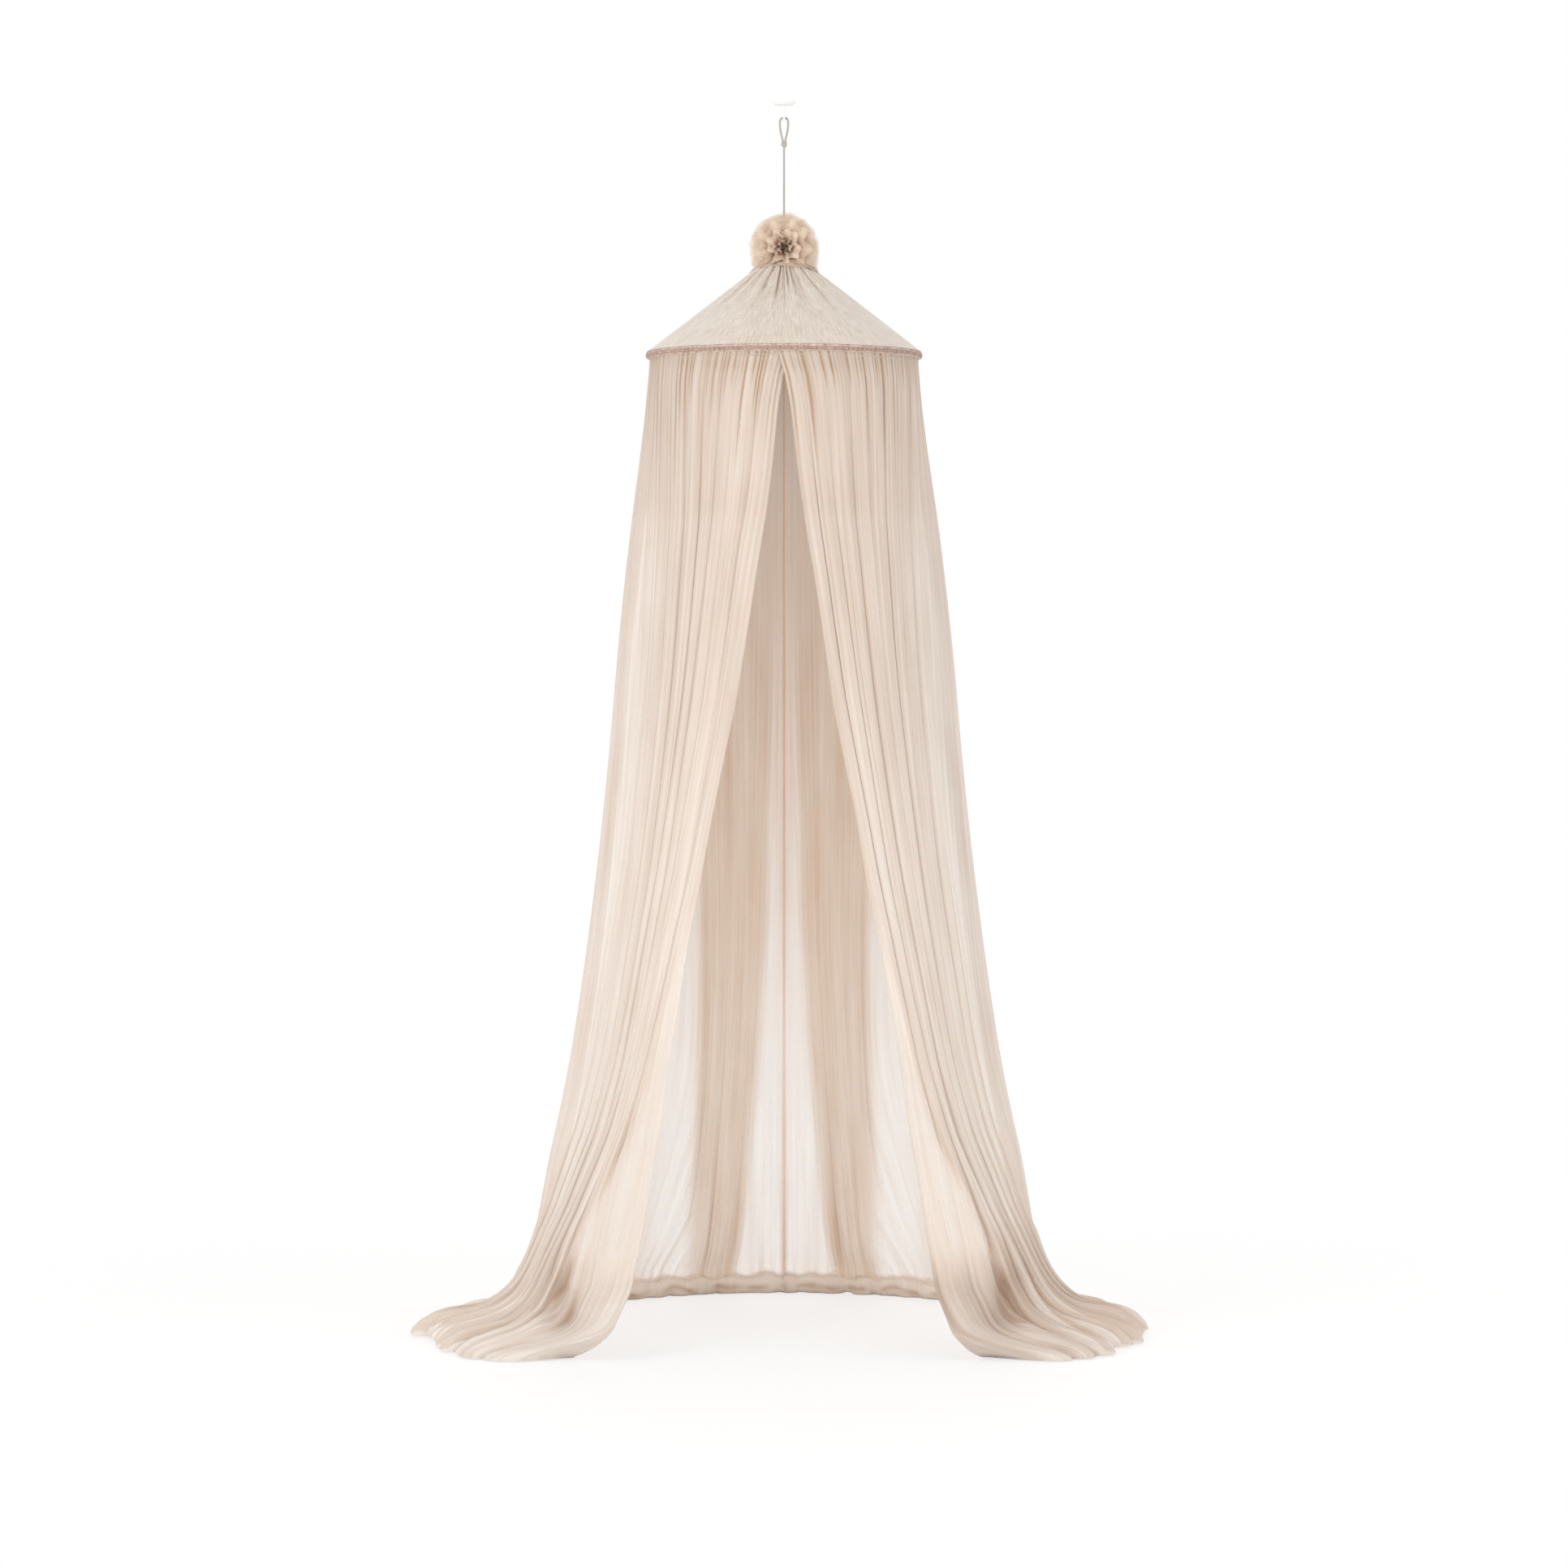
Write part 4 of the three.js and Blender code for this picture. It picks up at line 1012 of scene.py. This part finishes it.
def back(side):
    seed = 60 if side < 0 else 80

    def shape(u, v):
        outline, height, angle, bunched, _ = hung(
            u, v**1.35, back_density, lambda level: back_first, back_last, back_outline
        )
        level = height / curtain_top
        stand, painted_shade_and_tone, _ = folds(u, level, 7, 23, 44, seed)
        full = behind(angle)
        single = 0.8 * smooth(1.0, 0.7, bunched) * smooth(0.6, 0.4, level)
        quiet = np.maximum(0.7 * (1 - full), single)
        stand = stand * mix(1, 0.3, quiet) * mix(0.2, 1, smooth(0.012, 0.07, level))
        billow = 0.014 * full * smooth(0.038, 0.02, level)
        # Painted fold lines: painted shade of fine folds near the floor that are not modelled, and more
        # cover.
        painted_fold_lines, luck = valleys(58 * u + 0.6 * ripple(seed + 7, u, 8, 16), seed + 8, 0.7)
        painted_fold_lines = 0.8 * painted_fold_lines * smooth(0.045 + 0.1 * luck**2, 0.018, level)
        # Painted shade: more where bunched, paler towards the floor and darker higher up inside the tent.
        painted_shade_and_tone = painted_shade_and_tone * mix(0.6, 1.1, smooth(0.8, 2.2, bunched)) * mix(1, 0.3, quiet)
        painted_shade_and_tone = np.clip(painted_shade_and_tone + painted_fold_lines, 0, 1) * mix(0.34, 0.8, smooth(0.12, 0.5, level))
        edge = bell(u, 1, 0.003)
        painted_shade_and_tone = np.clip(painted_shade_and_tone + 0.18 * smooth(0.2, 0.6, level) + 0.4 * edge, 0, 1)
        cover = light_stopped(bunched * mix(2.2, 4.4, smooth(0.12, 0.75, level)))
        cover = np.clip(cover + 0.5 * edge + 0.4 * painted_fold_lines, 0.2, 0.985)
        cover = mix(cover, 0.42 + 0.05 * side, smooth(130, 112, angle) * smooth(0.95, 0.75, level))
        points = off_outline(side, outline, height, angle, -0.004 - stand - billow, lowest=0.006)
        # The back nets are given painted warm light, in full at the back.
        return points, painted_shade_and_tone, cover, 0.75 + 0.25 * smooth(112, 142, angle)

    name = sides[side]
    piece = curtain(f"back_net_{name}", 340, 120, 0.74, 2.0, shape)
    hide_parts(f"back_curtain_{name}")
    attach(piece, "crown")
    return piece


back_nets = {side: back(side) for side in sides}

# %% [markdown]
# The roll at the back's hem is the net's own end, pushed together: a tube laid round the foot. Wide pinches
# and small tucks thin it, and a crevice wanders along its lower front; all three get painted shade, and
# painted light pales its top. Its top fades into the net.

# %% Hem roll behind
roll_first, roll_radius, roll_steps = 129.0, 0.021, 260


def hem_roll(side):
    bm = bmesh.new()
    bmesh.ops.create_circle(bm, segments=32, radius=1.0)
    spun(bm, 1e-4, 1, roll_steps)
    p = vertices_of(bm)
    t = np.clip(p[:, 2], 0, 1)
    around = np.arctan2(p[:, 1], p[:, 0])
    up, top = np.sin(around), np.clip(np.sin(around), 0, 1)
    angle = mix(roll_first, back_last, t)
    full = behind(angle)
    thick = roll_radius * mix(0.4, 1, full)
    pinch, _ = valleys(7 * t + 0.35 * ripple(95 + side, t, 1, 3), 93 + side, 0.6)
    tuck, _ = valleys(38 * t + 0.2 * around + 0.5 * ripple(97 + side, t, 3, 9), 99 + side, 0.8)
    crevice = bell(up, -0.36 - 0.26 * ripple(107 + side, t, 2, 7), 0.22) * (np.cos(around) < 0)
    crevice = crevice * smooth(-0.7, 0.3, ripple(105 + side, t, 3, 8))
    lump = 1.12 + 0.24 * ripple(91 + side, t, 5, 12) - 0.3 * pinch**2 - 0.06 * tuck - 0.16 * crevice
    ring = np.hypot(p[:, 0], p[:, 1]) * thick * np.minimum(lump, 1.36)
    centre = mix(front_foot, back_foot, full) + back_flare * np.exp(-thick / back_flare_height)
    centre = centre - 0.004 - mix(0.003, 0.02, full)
    radius = centre + ring * np.cos(around) + 0.008 * full * top**3
    rise = 0.003 * full * (1 + ripple(101 + side, t, 3, 8))
    height = np.maximum(0.0006, thick + ring * up + rise * (1 + up))
    # Painted shade in pinches, tucks and crevice; painted light makes the top paler.
    painted_shade_and_tone = 0.5 * pinch * (1 - top) + 0.12 * tuck + 0.65 * crevice - 0.3 * up - 0.08
    melt = smooth(0.3, 0.97, top + 0.08 * ripple(109 + side, t, 6, 14))
    store(bm, "painted_shade_and_tone", np.clip(painted_shade_and_tone, 0, 1))
    store(bm, "cover", 0.94 - 1.1 * melt)
    move_vertices(bm, place(side * angle, radius, height))
    close_ends(bm)
    unwrap(bm, lambda q: (math.atan2(q.x, -q.y) * back_foot, q.z * 1.4 + math.hypot(q.x, q.y)))
    piece = finished(f"hem_roll_{sides[side]}", bm, roll_net, "crown")


for side in sides:
    hem_roll(side)

# %% [markdown]
# The room is plain: a pale floor that catches the shadow, a surround that is white to the camera, and soft
# light from large lamps. Far away the floor fades into the surround, so no horizon shows.

# %% Floor
floor_finish = Finish("pale_floor", 0.7)
point, (x, y, _) = floor_finish.coordinates("Object")
mottle = floor_finish.noise(point, 1.5)
floor_finish.set(Base_Color=floor_finish.blend_colours(mottle, colour(250, 250, 249), colour(252, 252, 252)))
white = floor_finish.node("ShaderNodeEmission", {"Color": (1, 1, 1, 1), "Strength": 1.0})
away = ((x * x + y * y) ** 0.5 * 0.7 - 0.6).clipped()
by_camera = floor_finish.number(floor_finish.node("ShaderNodeLightPath"), "Is Camera Ray")
parts = {0: by_camera * (away * 0.33 + 0.67), 1: floor_finish.shader.outputs[0], 2: white.outputs[0]}
joined = floor_finish.node("ShaderNodeMixShader", parts)
floor_finish.fill(floor_finish.tree.nodes["Material Output"], {0: joined.outputs[0]})
floor_bm = bmesh.new()
on_floor = Matrix.Translation((0, 0, -ceiling_height))
bmesh.ops.create_circle(floor_bm, cap_ends=True, segments=96, radius=60, matrix=on_floor)
floor = put_down("studio_floor", floor_bm, floor_finish)
print("floor", floor.dimensions.x, "m across")

# %% Surround and lamps
world = bpy.data.worlds.new("white_room")
scene.world = world
world.use_nodes = True
room = Wiring(world.node_tree)
soft = room.tree.nodes["Background"]
room.fill(soft, {"Color": (1, 0.99, 0.98, 1), "Strength": 0.7})
plain = room.node("ShaderNodeBackground", {"Color": (1, 1, 1, 1), "Strength": 1.0})
path = room.node("ShaderNodeLightPath")
seen = room.number(path, "Is Camera Ray")
for ray in ("Is Glossy Ray", "Is Transmission Ray"):
    seen = seen.larger(room.number(path, ray))
shown = room.node("ShaderNodeMixShader", {0: seen, 1: soft.outputs[0], 2: plain.outputs[0]})
room.fill(room.tree.nodes["World Output"], {0: shown.outputs[0]})


def softbox(name, place_at, aim, size, power):
    lamp = bpy.data.lights.new(name, "AREA")
    lamp.shape = "RECTANGLE"
    lamp.size, lamp.size_y, lamp.energy = *size, power
    holder = bpy.data.objects.new(name, lamp)
    holder.location = place_at
    holder.rotation_euler = (Vector(aim) - Vector(place_at)).to_track_quat("-Z", "Y").to_euler()
    scene.collection.objects.link(holder)
    print(name, power, "W")


softbox("key_softbox", (-3.5, -4.4, 0.6), (0, 0, -1.4), (2.2, 3.0), 140)
softbox("fill_softbox", (4.2, -3.8, 0.2), (0, 0, -1.2), (3.0, 3.0), 84)
softbox("back_softbox", (0.4, 4.6, 0.6), (0, 0, -1.5), (4.0, 2.6), 60)
